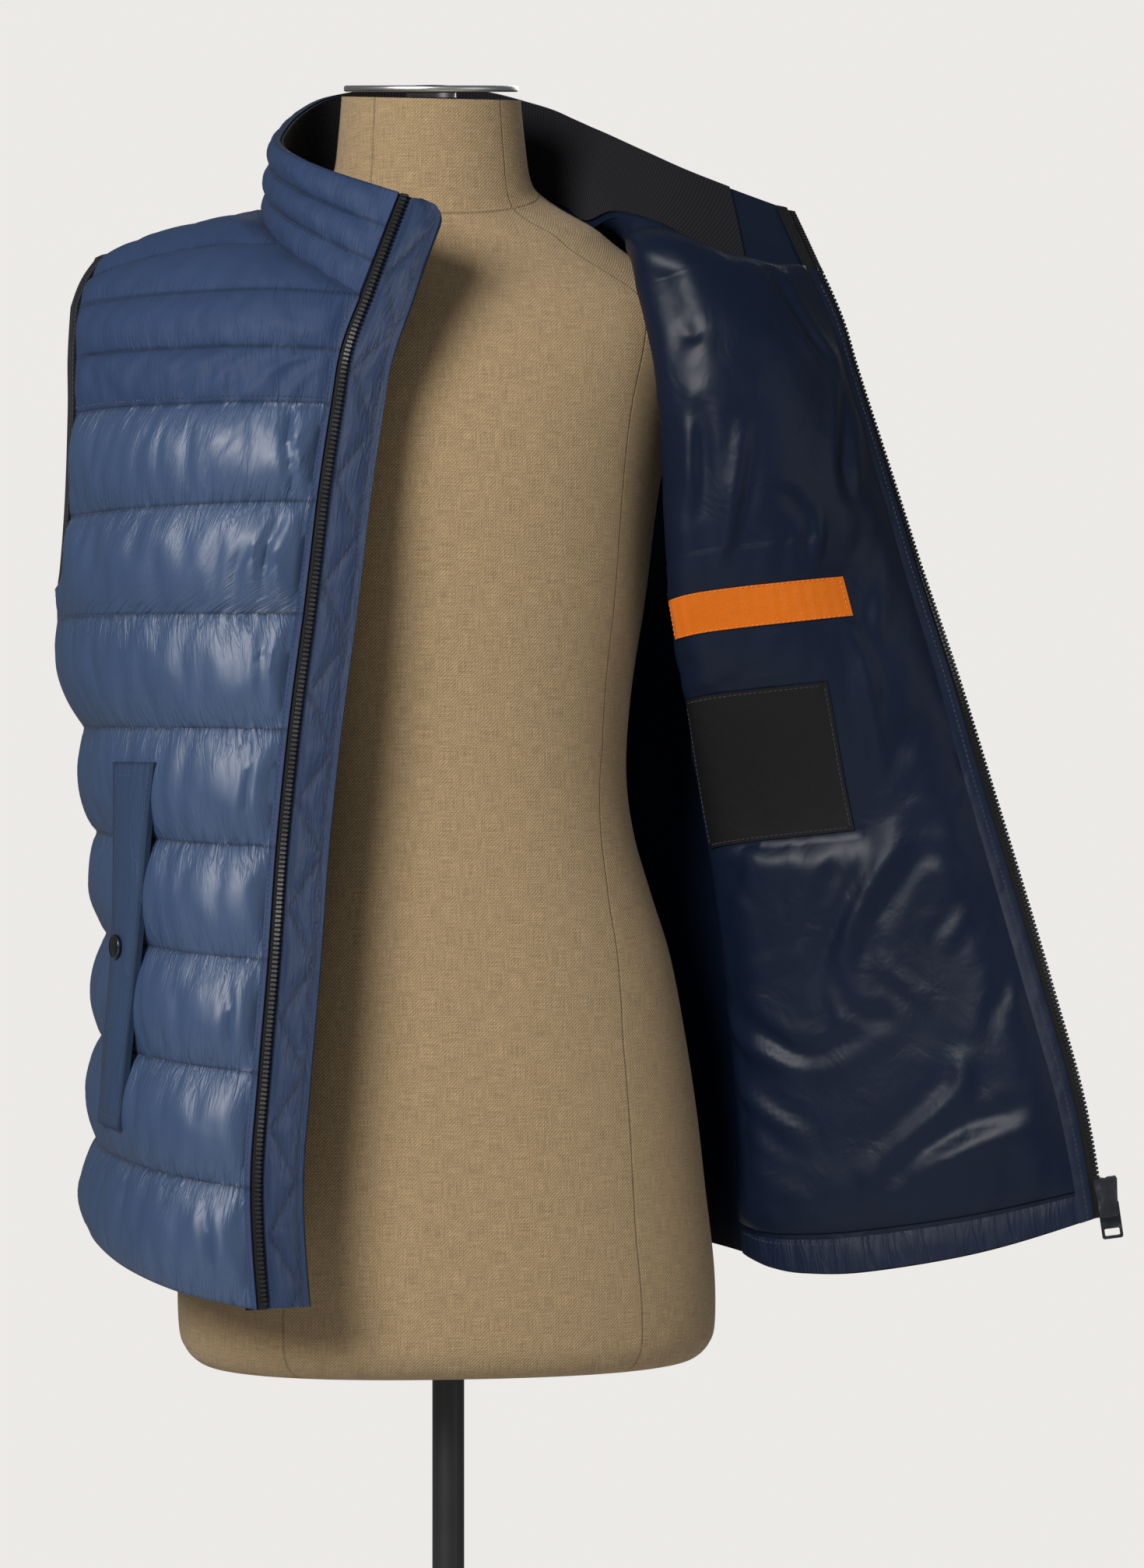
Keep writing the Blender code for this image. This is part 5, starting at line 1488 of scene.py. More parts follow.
def make_bindings():
    """Ribbed elastic folded over each armhole's edge, down the front and up the back."""
    gap, thick = 0.5, 1.4
    rows = np.concatenate([quilt_rows(0, 5, 12), 5 + np.arange(1, 9) * 0.65 / 8])
    count = len(rows)
    joints = [0, -1]
    high, low = WALL + gap, -gap
    for name, front, back_side in (
        ("right_armhole_binding", right_panel, (0, 0.17)),
        ("left_armhole_binding", left_panel, (BACK_SIDES, BACK_SIDES - 0.17)),
    ):
        down = edge_frames(front, rows, 0, 0.25)
        up = edge_frames(back_panel, rows, *back_side)
        down[1][joints] = midway(down[1][joints], up[1][joints])
        points, normals, out = (np.concatenate((a, b[-2:0:-1])) for a, b in zip(down, up))
        along = np.roll(points, -1, axis=0) - np.roll(points, 1, axis=0)
        across = unit(np.cross(normals, along))
        out = across * np.sign((across * out).sum())
        out = unit(np.roll(out, 1, axis=0) + 3 * out + np.roll(out, -1, axis=0))
        reach = -BINDING_REACH * out
        behind = np.concatenate((reach[:1], reach[: count - 2 : -1]))
        down = moved_along(front, rows, 0, reach[:count])
        up = moved_along(back_panel, rows, back_side[0], behind)
        down[1][joints] = midway(down[1][joints], up[1][joints])
        far, far_normals = (np.concatenate((a, b[-2:0:-1])) for a, b in zip(down, up))
        round_out = gap + thick
        rings = [
            far + far_normals * high,
            far + far_normals * (high + thick),
            (far + points) / 2 + (far_normals + normals) / 2 * (high + thick + 0.3),
            points + out * round_out * 0.45 + normals * (high + thick),
            points + out * (round_out + 0.5) + normals * (high + thick - 1.4),
            points + out * (round_out + 0.8) + normals * WALL / 2,
            points + out * (round_out + 0.5) + normals * (low - thick + 1.4),
            points + out * round_out * 0.45 + normals * (low - thick),
            far + far_normals * (low - thick),
            far + far_normals * low,
            points + out * gap + normals * low,
            points + out * gap + normals * high,
        ]
        rings = np.stack(rings, axis=1)
        binding = loft(name + "_elastic", rings, ("elastic",), closed=True)
        seat(binding, STAND, "knit", name)
        sewing = Stitching()
        line = far + far_normals * (high + thick)
        line += 1.2 * unit(points - far)
        sewing.line(line, far_normals, lift=0.2)
        seat(sewing.make(name + "_stitches", "black_thread"), STAND, "knit")


# Inside of the left front


def inside_grid(panel, rows, stations, depth):
    """Points and normals of the panel, and the points at a depth behind it."""
    points, normals, _ = panel.frames(rows, stations)
    return points, normals, points - normals * depth


def make_inside():
    make_lining()
    make_facings()
    make_patches()
    make_collar_facing()


FOLD_DEPTH = 1.7
LINING_ROOM = 6.0
LINING_CREASES = (
    (-3.2, 4.5, (10.5, 5.3), (10.77, 5.23), (11.0, 4.95), (11.17, 4.67), (11.37, 4.3)),
    (2.6, 3.5, (10.97, 5.65), (11.07, 5.23), (11.23, 4.8), (11.43, 4.45)),
    (-3.2, 5.0, (8.47, 5.28), (8.83, 5.0), (9.17, 4.8), (9.47, 4.65), (10.0, 4.58)),
    (-2.6, 4.5, (9.73, 1.8), (10.17, 3.0), (10.4, 3.98)),
    (-2.6, 4.5, (10.47, 2.02), (10.83, 3.2), (11.07, 3.8)),
    (-2.0, 4.0, (10.93, 2.55), (11.27, 3.45)),
    (-2.2, 5.0, (6.33, 5.25), (6.9, 5.28), (7.73, 5.25)),
    (2.5, 3.5, (9.4, 4.68), (9.7, 4.6), (10.0, 4.6), (10.03, 4.88)),
    (2.4, 3.5, (9.33, 4.32), (9.07, 4.5), (8.8, 4.66), (8.53, 4.84)),
    (-2.2, 3.0, (9.47, 3.44), (9.5, 3.88), (9.4, 4.14)),
    (-2.0, 2.6, (8.57, 3.38), (8.87, 3.7), (9.0, 3.96)),
    (2.6, 4.0, (9.83, 3.16), (10.13, 3.76), (10.33, 4.04), (10.33, 4.32), (10.07, 4.84)),
    (-2.2, 3.5, (11.2, 2.46), (11.4, 3.16), (11.57, 3.7)),
    (-2.4, 3.0, (9.1, 5.7), (9.3, 5.54), (9.47, 5.4)),
    (-1.8, 3.0, (9.9, 5.82), (10.2, 5.78)),
    (2.0, 3.5, (9.7, 5.82), (10.07, 5.62), (10.4, 5.52)),
    (-1.3, 2.8, (9.53, 4.92), (9.97, 5.18)),
    (1.6, 3.5, (9.13, 5.04), (8.6, 5.42), (8.63, 5.62), (8.9, 5.64)),
    (-1.5, 2.6, (11.4, 5.88), (11.57, 5.74)),
    (-2.6, 7.0, (11.37, 4.72), (11.27, 5.12), (11.17, 5.56)),
    (-2.8, 4.0, (4.5, 4.54), (5.17, 4.4), (5.5, 4.34), (5.77, 4.26)),
    (2.0, 5.0, (4.3, 4.12), (5.0, 4.06), (5.6, 3.96)),
    (-2.2, 4.0, (4.43, 3.92), (5.13, 3.88)),
    (1.6, 2.6, (4.1, 3.82), (4.2, 2.5)),
    (-1.8, 3.0, (5.53, 5.12), (5.87, 5.1)),
    (1.8, 3.0, (5.47, 5.06), (5.83, 5.0)),
    (2.4, 4.0, (4.23, 5.68), (5.0, 5.46), (5.33, 5.46)),
    (-1.8, 3.0, (5.93, 5.52), (6.27, 5.34)),
    (-1.6, 3.5, (6.3, 5.56), (6.63, 5.42)),
    (1.8, 3.5, (2.1, 5.26), (3.37, 5.44), (4.03, 5.62)),
    (-2.2, 3.0, (6.83, 2.94), (6.83, 3.92), (6.7, 4.24)),
    (2.0, 3.0, (6.8, 4.28), (6.7, 4.62), (6.57, 4.84)),
    (1.6, 3.0, (5.17, 4.72), (5.23, 4.9), (5.47, 5.04)),
    (-1.6, 2.6, (5.73, 2.74), (5.87, 3.96)),
)


def make_lining():
    rows = np.concatenate([np.arange(0.7, HEM_FACING_ROW - 0.05, 1 / 17), [HEM_FACING_ROW - 0.04]])
    stations = left_panel.even_stations(0, LINING_EDGE[1], 3.2, 8)
    grid_rows, grid_stations = np.meshgrid(rows, stations, indexing="ij")
    start = np.where(grid_rows[:, :1] <= ROW_PLACES[UNDERARM_ROW], 0.25, LINING_EDGE[0])
    share = grid_stations / LINING_EDGE[1]
    grid_stations = start + (LINING_EDGE[1] - start) * share
    points, normals, base = inside_grid(left_panel, grid_rows, grid_stations, 1.9)
    held = np.zeros(grid_rows.shape, bool)
    held[[0, -1]] = True
    held[:, [0, -1]] = True
    for (row_a, row_b), (station_a, station_b) in (POCKET_TAPE, LABEL):
        inside = (grid_rows > row_a - 0.05) & (grid_rows < row_b + 0.05)
        held |= inside & (grid_stations > station_a - 0.05) & (grid_stations < station_b + 0.05)
    wide = noise_field(base, 55, 41, (1, 1, 0.6)) + 0.5 * noise_field(base, 24, 42)
    outer = base - normals * ((1.3 + 2.0 * np.maximum(wide, -0.3)) * ~held)[..., None]
    name = "left_lining_satin"
    grid = (grid_rows, grid_stations)
    lining = ClothSheet(name, left_panel, *grid, points, -normals, outer, WALL + LINING_ROOM, held, limit=6.5)
    settle((lining,))
    lining.crease([(FOLD_DEPTH * depth, *rest) for depth, *rest in LINING_CREASES])
    height = ((lining.outer - base) * lining.normals).sum(-1)
    eased = np.maximum(height, 0.1)
    for axis in (0, 1, 0, 1):
        around = (np.roll(eased, 1, axis=axis) + 2 * eased + np.roll(eased, -1, axis=axis)) / 4
        eased = np.where(held, eased, around)
    lining.outer += lining.normals * (eased - height)[..., None]
    near = lining.outer + normals * 0.9
    uv = np.stack([arc(points, 1), arc(points, 0)], axis=-1)
    piece = thick_sheet(name, near, lining.outer, ("lining",), uv, seam=FACING_SEAM)
    seat(piece, STAND, "lining", "left_lining")
    high, wide = (np.diff(arc(base, axis), axis=axis) for axis in (0, 1))


def make_facings():
    rows = quilt_rows(NECK_CORNER_ROW, HEM_ROW, 20)
    rows[0] += 0.04
    strip = np.meshgrid(rows, np.linspace(LEFT_ZIP - 0.13, LEFT_ZIP - 0.008, 6), indexing="ij")
    _, normals, far = inside_grid(left_panel, *strip, 1.6)
    far -= normals * (0.35 * (1 + noise_field(far, 8, 51)))[..., None] * np.array([0, 1, 1, 1, 1, 0])[:, None]
    facing = thick_sheet("zip_facing_strip", far + normals, far, ("facing_nylon",), seam=FACING_SEAM)
    seat(facing, STAND, "shell", "zip_facing")
    long = arc(far[:, 0], 0)[-1] * MM
    stations = left_panel.even_stations(0.3, LINING_EDGE[1], 4, 12)
    hem = np.meshgrid(np.linspace(HEM_FACING_ROW, HEM_ROW - 0.01, 8), stations, indexing="ij")
    _, normals, far = inside_grid(left_panel, *hem, 1.6)
    bulge = np.sin(np.linspace(0, np.pi, 8))[:, None]
    far -= normals * (bulge * (0.5 + 0.6 * noise_field(far, 7, 52, (1, 1, 0.4))))[..., None]
    facing_hem = thick_sheet("hem_facing_strip", far + normals, far, ("facing_nylon",), seam=HEM_SEAM)
    seat(facing_hem, STAND, "shell", "hem_facing")
    long = arc(far[0], 0)[-1] * MM
    sewing = Stitching()
    sewing.line(far[1], -normals[1])
    for station in (LEFT_ZIP - ZIP_STRIP + 0.03, LEFT_ZIP - 0.06):
        _, facing_out, line = inside_grid(left_panel, rows[6:], station, 1.9)
        sewing.line(line, -facing_out)
    seat(sewing.make("facing_stitches", "thread"), STAND, "shell")


def make_patches():
    """The herringbone pocket tape and the plain label, each sewn down round its edge."""
    for name, (ends, sides), node, slot_name, thread in (
        ("pocket_tape_orange", POCKET_TAPE, "pocket_tape", "orange", "orange_thread"),
        ("plain_label", LABEL, "label", "label", "black_thread"),
    ):
        patch = np.meshgrid(np.linspace(*ends, 12), np.linspace(*sides, 40), indexing="ij")
        _, normals, far = inside_grid(left_panel, *patch, 3.25)
        far -= normals * (0.25 * noise_field(far, 20, 61))[..., None]
        piece = thick_sheet(name, far + normals * 0.8, far, (node,))
        seat(piece, STAND, slot_name, node)
        wide, high = arc(far, 1)[:, -1].mean() * MM, arc(far, 0)[-1].mean() * MM
        sewing = Stitching()
        inset = np.array((0.0225, 0.015))
        corners = np.array(((0, 0), (0, 1), (1, 1), (1, 0), (0, 0)))
        for corner, other in zip(corners, corners[1:]):
            places = np.clip(corner + (other - corner) * np.linspace(0, 1, 30)[:, None], inset, 1 - inset)
            rows, stations = np.interp(places[:, 0], (0, 1), ends), np.interp(places[:, 1], (0, 1), sides)
            _, edge_normals, edge = inside_grid(left_panel, rows, stations, 3.3)
            sewing.line(edge, -edge_normals)
        seat(sewing.make(name + "_stitches", thread), STAND, slot_name)


def make_collar_facing():
    last = collar_panel.last_station
    stations = collar_panel.even_stations(0.75, last - 1.8, 2.2, 1.5)
    grid = np.meshgrid(np.linspace(0.05, 2.8, 26), stations, indexing="ij")
    points, normals, far = inside_grid(collar_panel, *grid, 1.9)
    slack = np.sin(np.pi * grid[0] / 2.85) * (1 + 0.6 * noise_field(far, 30, 71))
    far -= normals * (0.5 * slack)[..., None]
    uv = np.stack([arc(points, 1), arc(points, 0)], axis=-1)
    knit = thick_sheet("collar_knit", far + normals * 1.3, far, ("knit",), uv)
    seat(knit, STAND, "knit", "collar_facing")
    long = arc(points, 1)[:, -1].mean() * MM
    high = arc(points, 0)[-1].mean() * MM


# Pockets


WELT_SIZE = (22, 220)
SNAP_CAP = (
    (0, 2.7), (3.5, 2.65), (5.2, 2.5), (5.7, 2.25), (6.0, 2.25), (6.6, 2.6), (7.1, 2.5),
    (7.45, 2.0), (7.5, 1.3), (7.2, 0.4), (6.6, 0), (0, 0),
)


def make_pockets():
    for side, panel, ends in (("right", right_panel, RIGHT_WELT), ("left", left_panel, LEFT_WELT)):
        rows = np.linspace(*WELT_ROWS, 60)
        share = (rows - rows[0]) / (rows[-1] - rows[0])
        (top_near, top_far), (low_near, low_far) = ends
        near_line = top_near + (low_near - top_near) * share
        far_line = top_far + (low_far - top_far) * share
        across = np.linspace(0, 1, 13)
        stations = near_line[:, None] + (far_line - near_line)[:, None] * across
        points, normals, _ = panel.frames(np.repeat(rows[:, None], len(across), axis=1), stations)
        across_edge = np.minimum(across, 1 - across) * WELT_SIZE[0]
        edge = np.minimum(across_edge, (np.minimum(share, 1 - share) * WELT_SIZE[1])[:, None])
        swell = 1.7 * np.sin(np.pi * across)[None] ** 0.6 * (1 - np.exp(-edge / 4))
        groove = 0.7 * np.exp(-(((edge - 3.2) / 1.0) ** 2))
        top = points + normals * WELT_OUT
        crumple = 0.6 * noise_field(top, 16, 81, (1, 1, 0.5)) * (1 - np.exp(-edge / 4))
        far = points + normals * (WELT_OUT - 1.2 + swell - groove + crumple)[..., None]
        near = points + normals * (WELT_OUT - 5)
        welt = thick_sheet(side + "_welt_strip", near, far, ("welt_nylon",), seam=edge)
        seat(welt, STAND, "shell", side + "_pocket_welt")
        sewing = Stitching()
        middle, within = slice(2, -2), slice(1, -1)
        for place in ((middle, 1), (middle, -2), (2, within), (-3, within)):
            sewing.line(far[place], normals[place])
        seat(sewing.make(side + "_welt_stitches", "thread"), STAND, "shell")
        at = (SNAP_ROW - WELT_ROWS[0]) / (WELT_ROWS[1] - WELT_ROWS[0])
        near_end, far_end = top_near + (low_near - top_near) * at, top_far + (low_far - top_far) * at
        point, normal, _ = panel.frames(SNAP_ROW, near_end + (far_end - near_end) * SNAP_ACROSS)
        turn = Vector((0, 0, 1)).rotation_difference(Vector(normal)).to_matrix().to_4x4()
        matrix = Matrix.Translation(Vector(point + normal * (WELT_OUT + 0.6)) * MM) @ turn
        snap = lathe(side + "_snap_cap", SNAP_CAP, 64, ("gunmetal",), matrix)
        seat(snap, STAND, "gunmetal", side + "_snap")


# Dress form and stand


COVER_SIDES = 144
FRONT_SEAM = (
    (751, 52), (825, 53), (949, 51), (1033, 47), (1133, 39), (1273, 42), (1425, 46), (1550, 46),
)


def form_section(high, half, front, back, tilt, square):
    """One level section of the form. Its points gather on the seam lines, which are whole columns."""
    turns = np.arange(COVER_SIDES) * 360 / COVER_SIDES
    seam = np.interp(high, *zip(*FRONT_SEAM))
    before = (0, 45, 90, 135, 180, 225, 270, 315, 360)
    after = (0, 45, 90, 135, 180, 180 + seam, 270, 360 - seam, 360)
    angles = np.radians(np.interp(turns, before, after))
    cos, sin = np.cos(angles), np.sin(angles)
    x = half * np.sign(cos) * np.abs(cos) ** (2 / square)
    y = np.where(sin < 0, front, back) * np.sign(sin) * np.abs(sin) ** (2 / square)
    lean = FORM_LEAN * (high - FORM_BOTTOM)
    return np.stack([x - lean, y, high + tilt * y], axis=1)


def make_form():
    knots = np.arange(len(FORM_SECTIONS), dtype=float)
    places = np.linspace(0, knots[-1], 8 * (len(knots) - 1) + 1)
    table = weights(knots, places) @ np.array(FORM_SECTIONS, float)
    rings = np.array([form_section(*row) for row in table])
    around = arc(np.concatenate([rings, rings[:, :1]], axis=1), 1)
    seams = np.delete(np.arange(0, COVER_SIDES + 1, COVER_SIDES // 8), 6)
    across = np.abs(around[:, :-1, None] - around[:, None, seams]).min(axis=2)
    down = arc(rings, 0)
    neck_base = int(np.argmin(np.abs(places - 24)))
    across = np.minimum(across, np.abs(down - down[neck_base]))
    middle = around[:, 3 * COVER_SIDES // 4, None]
    uv = np.stack([around[:, :-1] - middle, rings[..., 2]], axis=-1)
    cover = loft("form_cover", rings, ("linen",), uv=uv, seam=across)
    seat(cover, STAND, "linen", "form_body")

    radius, thick, boss, rise = 56, 4, 16, 3.5
    top = rise + thick
    profile = (
        (0, top), (20, top), (40, top), (radius - 1.4, top), (radius - 0.5, top - 0.3), (radius, top - 1),
        (radius, rise + 1), (radius - 0.5, rise + 0.3), (radius - 1.4, rise), (boss + 1, rise),
        (boss, rise - 0.5), (boss, 0), (0, 0),
    )
    roll = math.radians(1.2)
    matrix = (
        Matrix.Translation(Vector((-FORM_LEAN * (NECK_TOP - FORM_BOTTOM), 0, NECK_TOP)) * MM)
        @ Matrix.Rotation(math.atan(NECK_TILT), 4, "X")
        @ Matrix.Translation((0, 0, (0.35 + boss * math.sin(roll)) * MM))
        @ Matrix.Rotation(-roll, 4, "Y")
    )
    cap = lathe("neck_cap_plate", profile, 128, ("brushed_cap",), matrix)
    seat(cap, STAND, "brushed_cap", "neck_cap")

    pole = (
        (0, 739.6), (9.6, 739.6), (10.25, 739), (10.25, 480),
        (10.25, 240), (10.25, 40), (10.25, 12.6), (0, 12.6),
    )
    seat(lathe("stand_pole", pole, 64, ("black_metal",)), STAND, "black_metal", "pole")
    base = (
        (0, 12), (60, 12), (120, 12), (177, 12), (178.6, 11.5),
        (179.6, 10.4), (180, 9), (180, 0.8), (179.4, 0), (0, 0),
    )
    seat(lathe("stand_base", base, 144, ("black_metal",)), STAND, "black_metal", "base_plate")


# Slider and pull


# The slider's shapes lie across and along the zip, in millimetres from its middle.
PLATE = (
    (-5.2, -12.4), (5.2, -12.4), (6.2, -11), (6.3, -3), (7.2, 5),
    (7.9, 10.4), (7, 12.4), (2, 12.4), (0, 11.6), (-2, 12.4),
    (-6.4, 12.4), (-7.2, 10.4), (-6.9, 5), (-6.3, -3), (-6.2, -11),
)
POST = ((10.6, 2.5), (13.2, 8.6), (12.6, 11.2), (10.6, 11.4), (10.2, 8.6))
WALL_SIDE = ((14.2, -11.4), (15.2, -11.2), (15.3, 8.8), (14.4, 10.4), (13.6, 9.6), (13.4, -3))
PULL_NECK = ((-3.3, -4.2), (3.3, -4.2), (3.0, -1.9), (-3.0, -1.9))


def slider_matrix():
    """The slider's axes: x across the zip, y level and out of the panel, z up along the zip."""
    point, normal, _ = left_panel.frames(SLIDER_ROW, LEFT_ZIP)
    above, below = left_panel.points(np.array((SLIDER_ROW - 0.1, SLIDER_ROW + 0.1)), LEFT_ZIP)
    out = unit(normal * (1, 1, 0))
    up = above - below
    up = unit(up - out * (up @ out))
    matrix = Matrix((np.cross(out, up), out, up)).transposed().to_4x4()
    return Matrix.Translation(Vector(point) * MM) @ matrix


def slab(outline, low, high, bevel=0.35):
    """Rings of a flat plate with eased edges. The outline is (x, z), and low and high are along y."""
    outline = np.array(outline, float)
    middle = outline.mean(axis=0)
    rings = []
    for depth, inset in ((low, bevel), (low + bevel, 0), (high - bevel, 0), (high, bevel)):
        size = np.linalg.norm(outline - middle, axis=1, keepdims=True)
        flat = middle + (outline - middle) * (1 - inset / size)
        rings.append(np.stack([flat[:, 0], np.full(len(flat), depth), flat[:, 1]], axis=1))
    return np.array(rings)


def rounded(low, high, radius, steps=6):
    """Outline of a rectangle with round corners, anticlockwise from its lower right corner."""
    (x0, z0), (x1, z1) = np.add(low, radius), np.subtract(high, radius)
    turns = np.radians(np.linspace(0, 90, steps + 1))
    points = []
    for number, (x, z) in enumerate(((x1, z0), (x1, z1), (x0, z1), (x0, z0))):
        angles = turns + math.pi / 2 * (number - 1)
        points.append(np.stack([x + radius * np.cos(angles), z + radius * np.sin(angles)], axis=1))
    return np.concatenate(points)


def eased_wall(near, far, low, high, bevel):
    """The section of a wall with eased corners."""
    return (
        (near, low + bevel), (near + bevel, low), (far - bevel, low), (far, low + bevel),
        (far, high - bevel), (far - bevel, high), (near + bevel, high), (near, high - bevel),
    )


def tube_rings(radius, hole, low, high, bevel=0.25, sides=48):
    """A short tube along x: its wall's section, carried round the axis."""
    wall = eased_wall(hole, radius, low, high, bevel)
    angles = np.arange(sides) * 2 * math.pi / sides
    return np.array([[(x, r * math.cos(a), r * math.sin(a)) for r, x in wall] for a in angles])


def window_rings(outer, inner, low, high, bevel=0.3, sides=72):
    """A plate with a window: the section of its wall at each direction from the window's centre."""
    outer, inner = np.array(outer, float), np.array(inner, float)
    centre = inner.mean(axis=0)

    def reach(outline, heading):
        edges = np.roll(outline, -1, axis=0) - outline
        away = np.stack([edges[:, 1], -edges[:, 0]], axis=1)
        gap, facing = ((outline - centre) * away).sum(axis=1), away @ heading
        return (gap[facing > 1e-9] / facing[facing > 1e-9]).min()

    even = np.linspace(-math.pi, math.pi, sides, endpoint=False)
    corners = [math.atan2(*(point - centre)[::-1]) for point in outer]
    rings = []
    for angle in sorted({round(a, 6) for a in (*even, *corners)}):
        heading = np.array((math.cos(angle), math.sin(angle)))
        wall = eased_wall(reach(inner, heading), reach(outer, heading), low, high, bevel)
        rings.append([(centre[0] + r * heading[0], y, centre[1] + r * heading[1]) for r, y in wall])
    return np.array(rings)


def joined(name, shapes, matrix):
    """One mesh of several shapes: (rings, whether the rings close into a loop) each."""
    mesh = bmesh.new()
    for number, (rings, closed) in enumerate(shapes):
        piece = loft(f"{name}_{number}", rings, ("gunmetal",), closed, smooth_angle=35)
        mesh.from_mesh(piece.data)
        old = piece.data
        bpy.data.objects.remove(piece)
        bpy.data.meshes.remove(old)
    whole = bpy.data.meshes.new(name)
    mesh.to_mesh(whole)
    mesh.free()
    whole.materials.append(finish("gunmetal"))
    whole.transform(matrix)
    show_smooth(whole, 35)
    piece = bpy.data.objects.new(name, whole)
    bpy.context.scene.collection.objects.link(piece)
    return piece


def make_slider():
    """The slider at the bottom of the left front's zip, and the pull that hangs from its pin."""
    matrix = slider_matrix()
    middle = SLIDER_MIDDLE
    plate = np.add(PLATE, (middle, 0))
    shapes = [(slab(plate, 3.5, 5.0), False), (slab(plate, -2.4, -0.7), False)]
    shapes += [(slab(outline, -1.0, 3.8, 0.2), False) for outline in (POST, WALL_SIDE)]
    turns = np.linspace(0, math.pi, 13)
    ear = [(-2.2, 4.6), (2.2, 4.6), *((2.2 * math.cos(a), PIN_OUT + 1.75 * math.sin(a)) for a in turns)]
    for near, far in ((-4.9, -3.6), (3.6, 4.9)):
        steps = ((near, 0.92), (near + 0.25, 1), (far - 0.25, 1), (far, 0.92))
        shapes.append((np.array([[(middle + x, y, z * size) for z, y in ear] for x, size in steps]), False))
    turns = np.linspace(0, 2 * math.pi, 25)[:-1]
    round_pin = [(PIN_OUT + 1.15 * math.cos(a), 1.15 * math.sin(a)) for a in turns]
    shapes.append((np.array([[(middle + x, y, z) for y, z in round_pin] for x in (-4.2, 4.2)]), False))
    seat(joined("slider_body", shapes, matrix), STAND, "gunmetal", "zip_slider")

    eye = matrix @ Matrix.Translation(Vector((middle, PIN_OUT, 0)) * MM)
    outline = rounded((-6.6, -27), (6.6, -3.3), 1.6)
    window = rounded((-4.7, -25), (4.7, -20.6), 0.8)
    shapes = [
        (window_rings(outline, window, -0.9, 0.9), True),
        (slab(PULL_NECK, -0.85, 0.85, 0.2), False),
        (tube_rings(2.3, 1.5, -3.3, 3.3), True),
    ]
    seat(joined("pull_tab", shapes, eye), PULL, "gunmetal", "zip_pull")


# Studio


PHOTO_CAMERA = (-0.31096, -2.78381, 1.11)
SEEN_AIR = (0.84, 0.82, 0.8, 1)
LIT_AIR = (0.93, 0.96, 1.0, 1)
LIGHTS = (
    # name, place, target, size, power, colour
    ("key", (-1.7, -2.5, 2.45), (0, 0, 1.15), 1.4, 112, (1, 0.985, 0.96)),
    ("fill", (2.6, -2.2, 1.6), (0, 0, 1.1), 2.2, 12, (0.95, 0.97, 1)),
    ("rim", (1.2, 2.6, 2.4), (0, 0, 1.2), 1.6, 25, (1, 1, 1)),
)


def make_studio():
    """A pale floor, pale air, a large soft light from the upper left and the camera of the photograph."""
    scene = bpy.context.scene
    angles = np.arange(96) * 2 * math.pi / 96
    rings = [
        [(r * math.cos(a), r * math.sin(a), high) for a in angles]
        for r, high in ((2600, -0.5), (2640, -0.5), (2640, -12), (2600, -12))
    ]
    floor = loft("studio_floor", np.array(rings), ("floor",))

    world = bpy.data.worlds.new("studio")
    scene.world = world
    world.use_nodes = True
    tree = world.node_tree
    tree.nodes.clear()
    seen = wire(tree, "Background", {"Color": SEEN_AIR})
    air = wire(tree, "Background", {"Color": LIT_AIR, "Strength": 0.14})
    mixed = wire(tree, "MixShader", {0: wire(tree, "LightPath", output="Is Camera Ray"), 1: air, 2: seen})
    feed(tree, mixed, tree.nodes.new("ShaderNodeOutputWorld").inputs[0])

    for name, place, target, size, power, colour in LIGHTS:
        light = bpy.data.lights.new(name, "AREA")
        light.shape = "DISK"
        light.size = size
        light.energy = power
        light.color = colour
        lamp = bpy.data.objects.new(name, light)
        scene.collection.objects.link(lamp)
        lamp.location = place
        lamp.rotation_euler = (Vector(target) - Vector(place)).to_track_quat("-Z", "Y").to_euler()

    lens = bpy.data.cameras.new("photo")
    lens.lens = 100.1
    lens.sensor_width = 36
    lens.clip_end = 50
    camera = bpy.data.objects.new("photo", lens)
    camera.location = PHOTO_CAMERA
    camera.rotation_euler = (math.radians(90), 0, math.radians(-8))
    scene.collection.objects.link(camera)
    scene.camera = camera
    scene.view_settings.view_transform = "Standard"


# Operators and panel


class VEST_OT_form(bpy.types.Operator):
    """Makes the linen form, its neck cap, pole and base"""

    bl_idname = "vest.make_form"
    bl_label = "Dress form"

    def execute(self, context):
        make_form()
        return {"FINISHED"}


class VEST_OT_shells(bpy.types.Operator):
    """Makes the padded fronts, back and collar with their quilting"""

    bl_idname = "vest.make_shells"
    bl_label = "Quilted shell"

    def execute(self, context):
        make_shells()
        return {"FINISHED"}


class VEST_OT_trim(bpy.types.Operator):
    """Makes the zips, the windguard and the armhole bindings"""

    bl_idname = "vest.make_trim"
    bl_label = "Zips, windguard and bindings"

    def execute(self, context):
        make_zips()
        make_windguard()
        make_bindings()
        return {"FINISHED"}


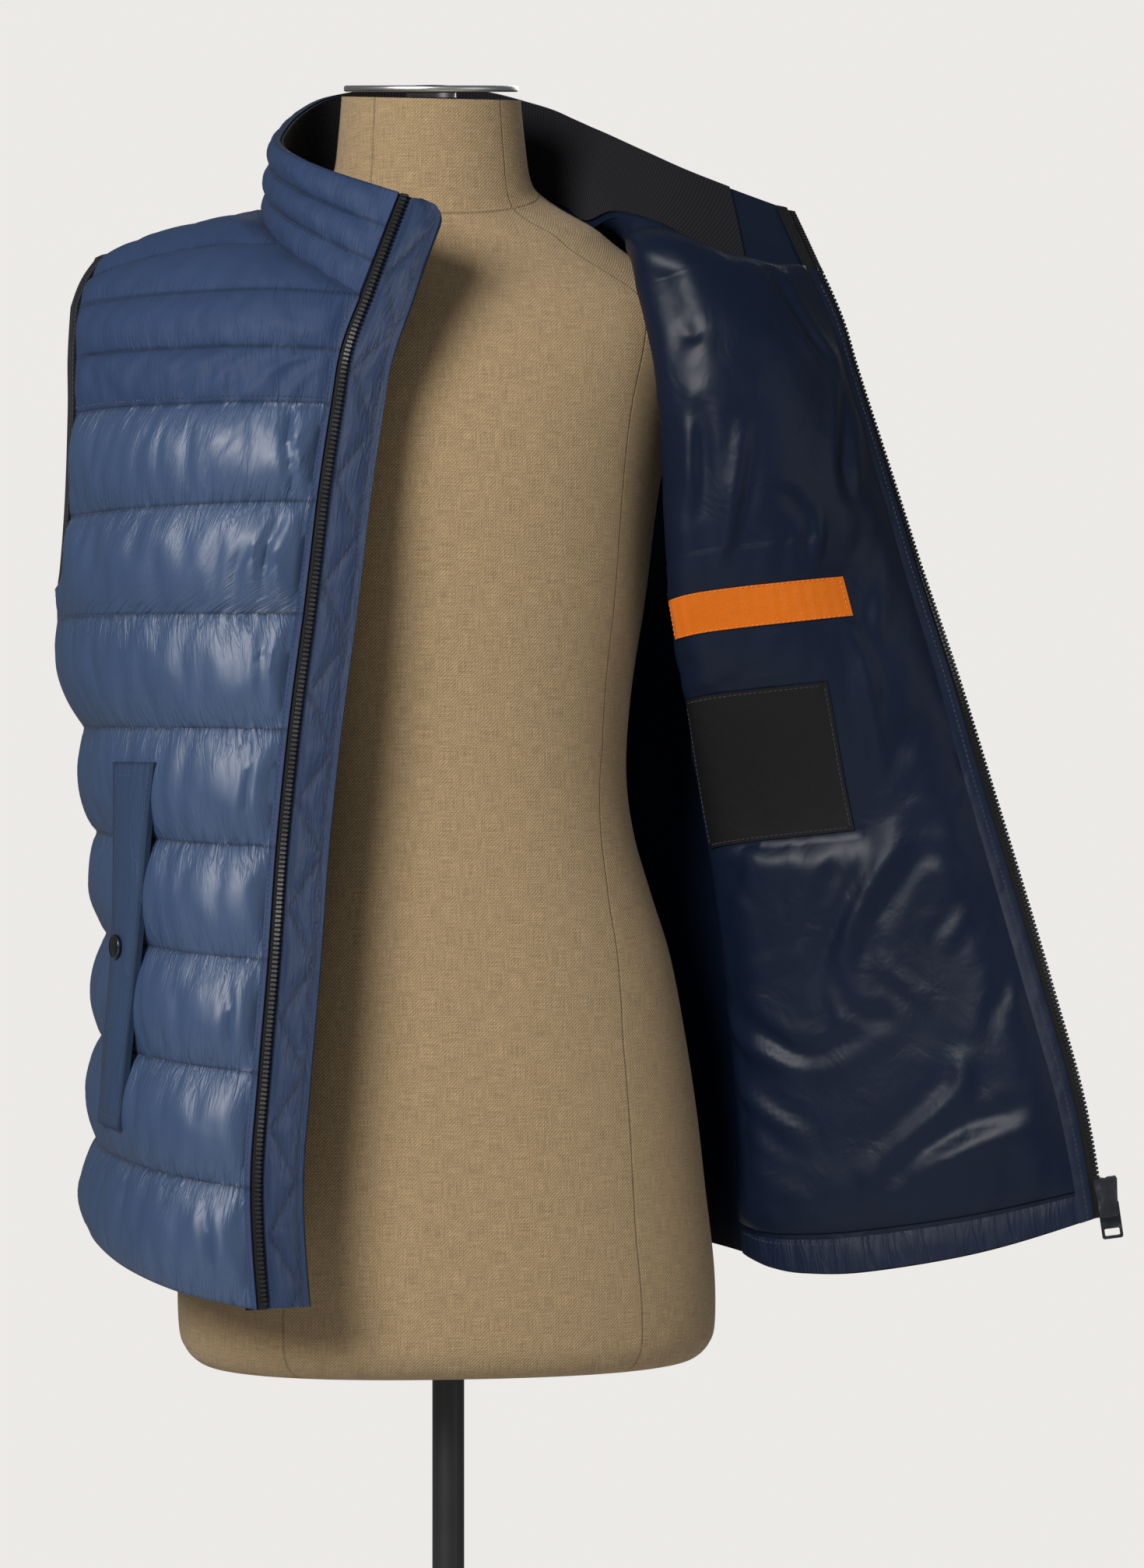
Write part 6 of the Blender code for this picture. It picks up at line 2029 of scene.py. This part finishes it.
class VEST_OT_inside(bpy.types.Operator):
    """Makes the lining, facings, pocket tape, label and collar knit"""

    bl_idname = "vest.make_inside"
    bl_label = "Inside of the left front"

    def execute(self, context):
        make_inside()
        return {"FINISHED"}


class VEST_OT_pockets(bpy.types.Operator):
    """Makes the pocket welts and their snaps"""

    bl_idname = "vest.make_pockets"
    bl_label = "Pocket welts and snaps"

    def execute(self, context):
        make_pockets()
        return {"FINISHED"}


class VEST_OT_slider(bpy.types.Operator):
    """Makes the zip's slider and its pull"""

    bl_idname = "vest.make_slider"
    bl_label = "Slider and pull"

    def execute(self, context):
        make_slider()
        return {"FINISHED"}


class VEST_OT_studio(bpy.types.Operator):
    """Makes the floor, the light and the camera"""

    bl_idname = "vest.make_studio"
    bl_label = "Studio"

    def execute(self, context):
        make_studio()
        return {"FINISHED"}


OPERATORS = (
    VEST_OT_studio,
    VEST_OT_form,
    VEST_OT_shells,
    VEST_OT_trim,
    VEST_OT_inside,
    VEST_OT_pockets,
    VEST_OT_slider,
)


class VEST_PT_pieces(bpy.types.Panel):
    """Lists the pieces, sizes and colours of the vest"""

    bl_idname = "VEST_PT_pieces"
    bl_label = "Quilted vest"
    bl_space_type = "VIEW_3D"
    bl_region_type = "UI"
    bl_category = "Vest"

    def draw(self, context):
        for operator in OPERATORS:
            self.layout.operator(operator.bl_idname)
        for group in (sizes(), colours()):
            for name in group.__annotations__:
                self.layout.prop(group, name)


CLASSES = (VestSizes, VestColours, *OPERATORS, VEST_PT_pieces)


def register():
    for made in CLASSES:
        bpy.utils.register_class(made)
    bpy.types.Scene.vest_sizes = PointerProperty(type=VestSizes)
    bpy.types.Scene.vest_colours = PointerProperty(type=VestColours)


def unregister():
    del bpy.types.Scene.vest_colours
    del bpy.types.Scene.vest_sizes
    for made in reversed(CLASSES):
        bpy.utils.unregister_class(made)


def main():
    register()
    for operator in OPERATORS:
        group, name = operator.bl_idname.split(".")
        getattr(getattr(bpy.ops, group), name)()


if __name__ == "__main__":
    main()
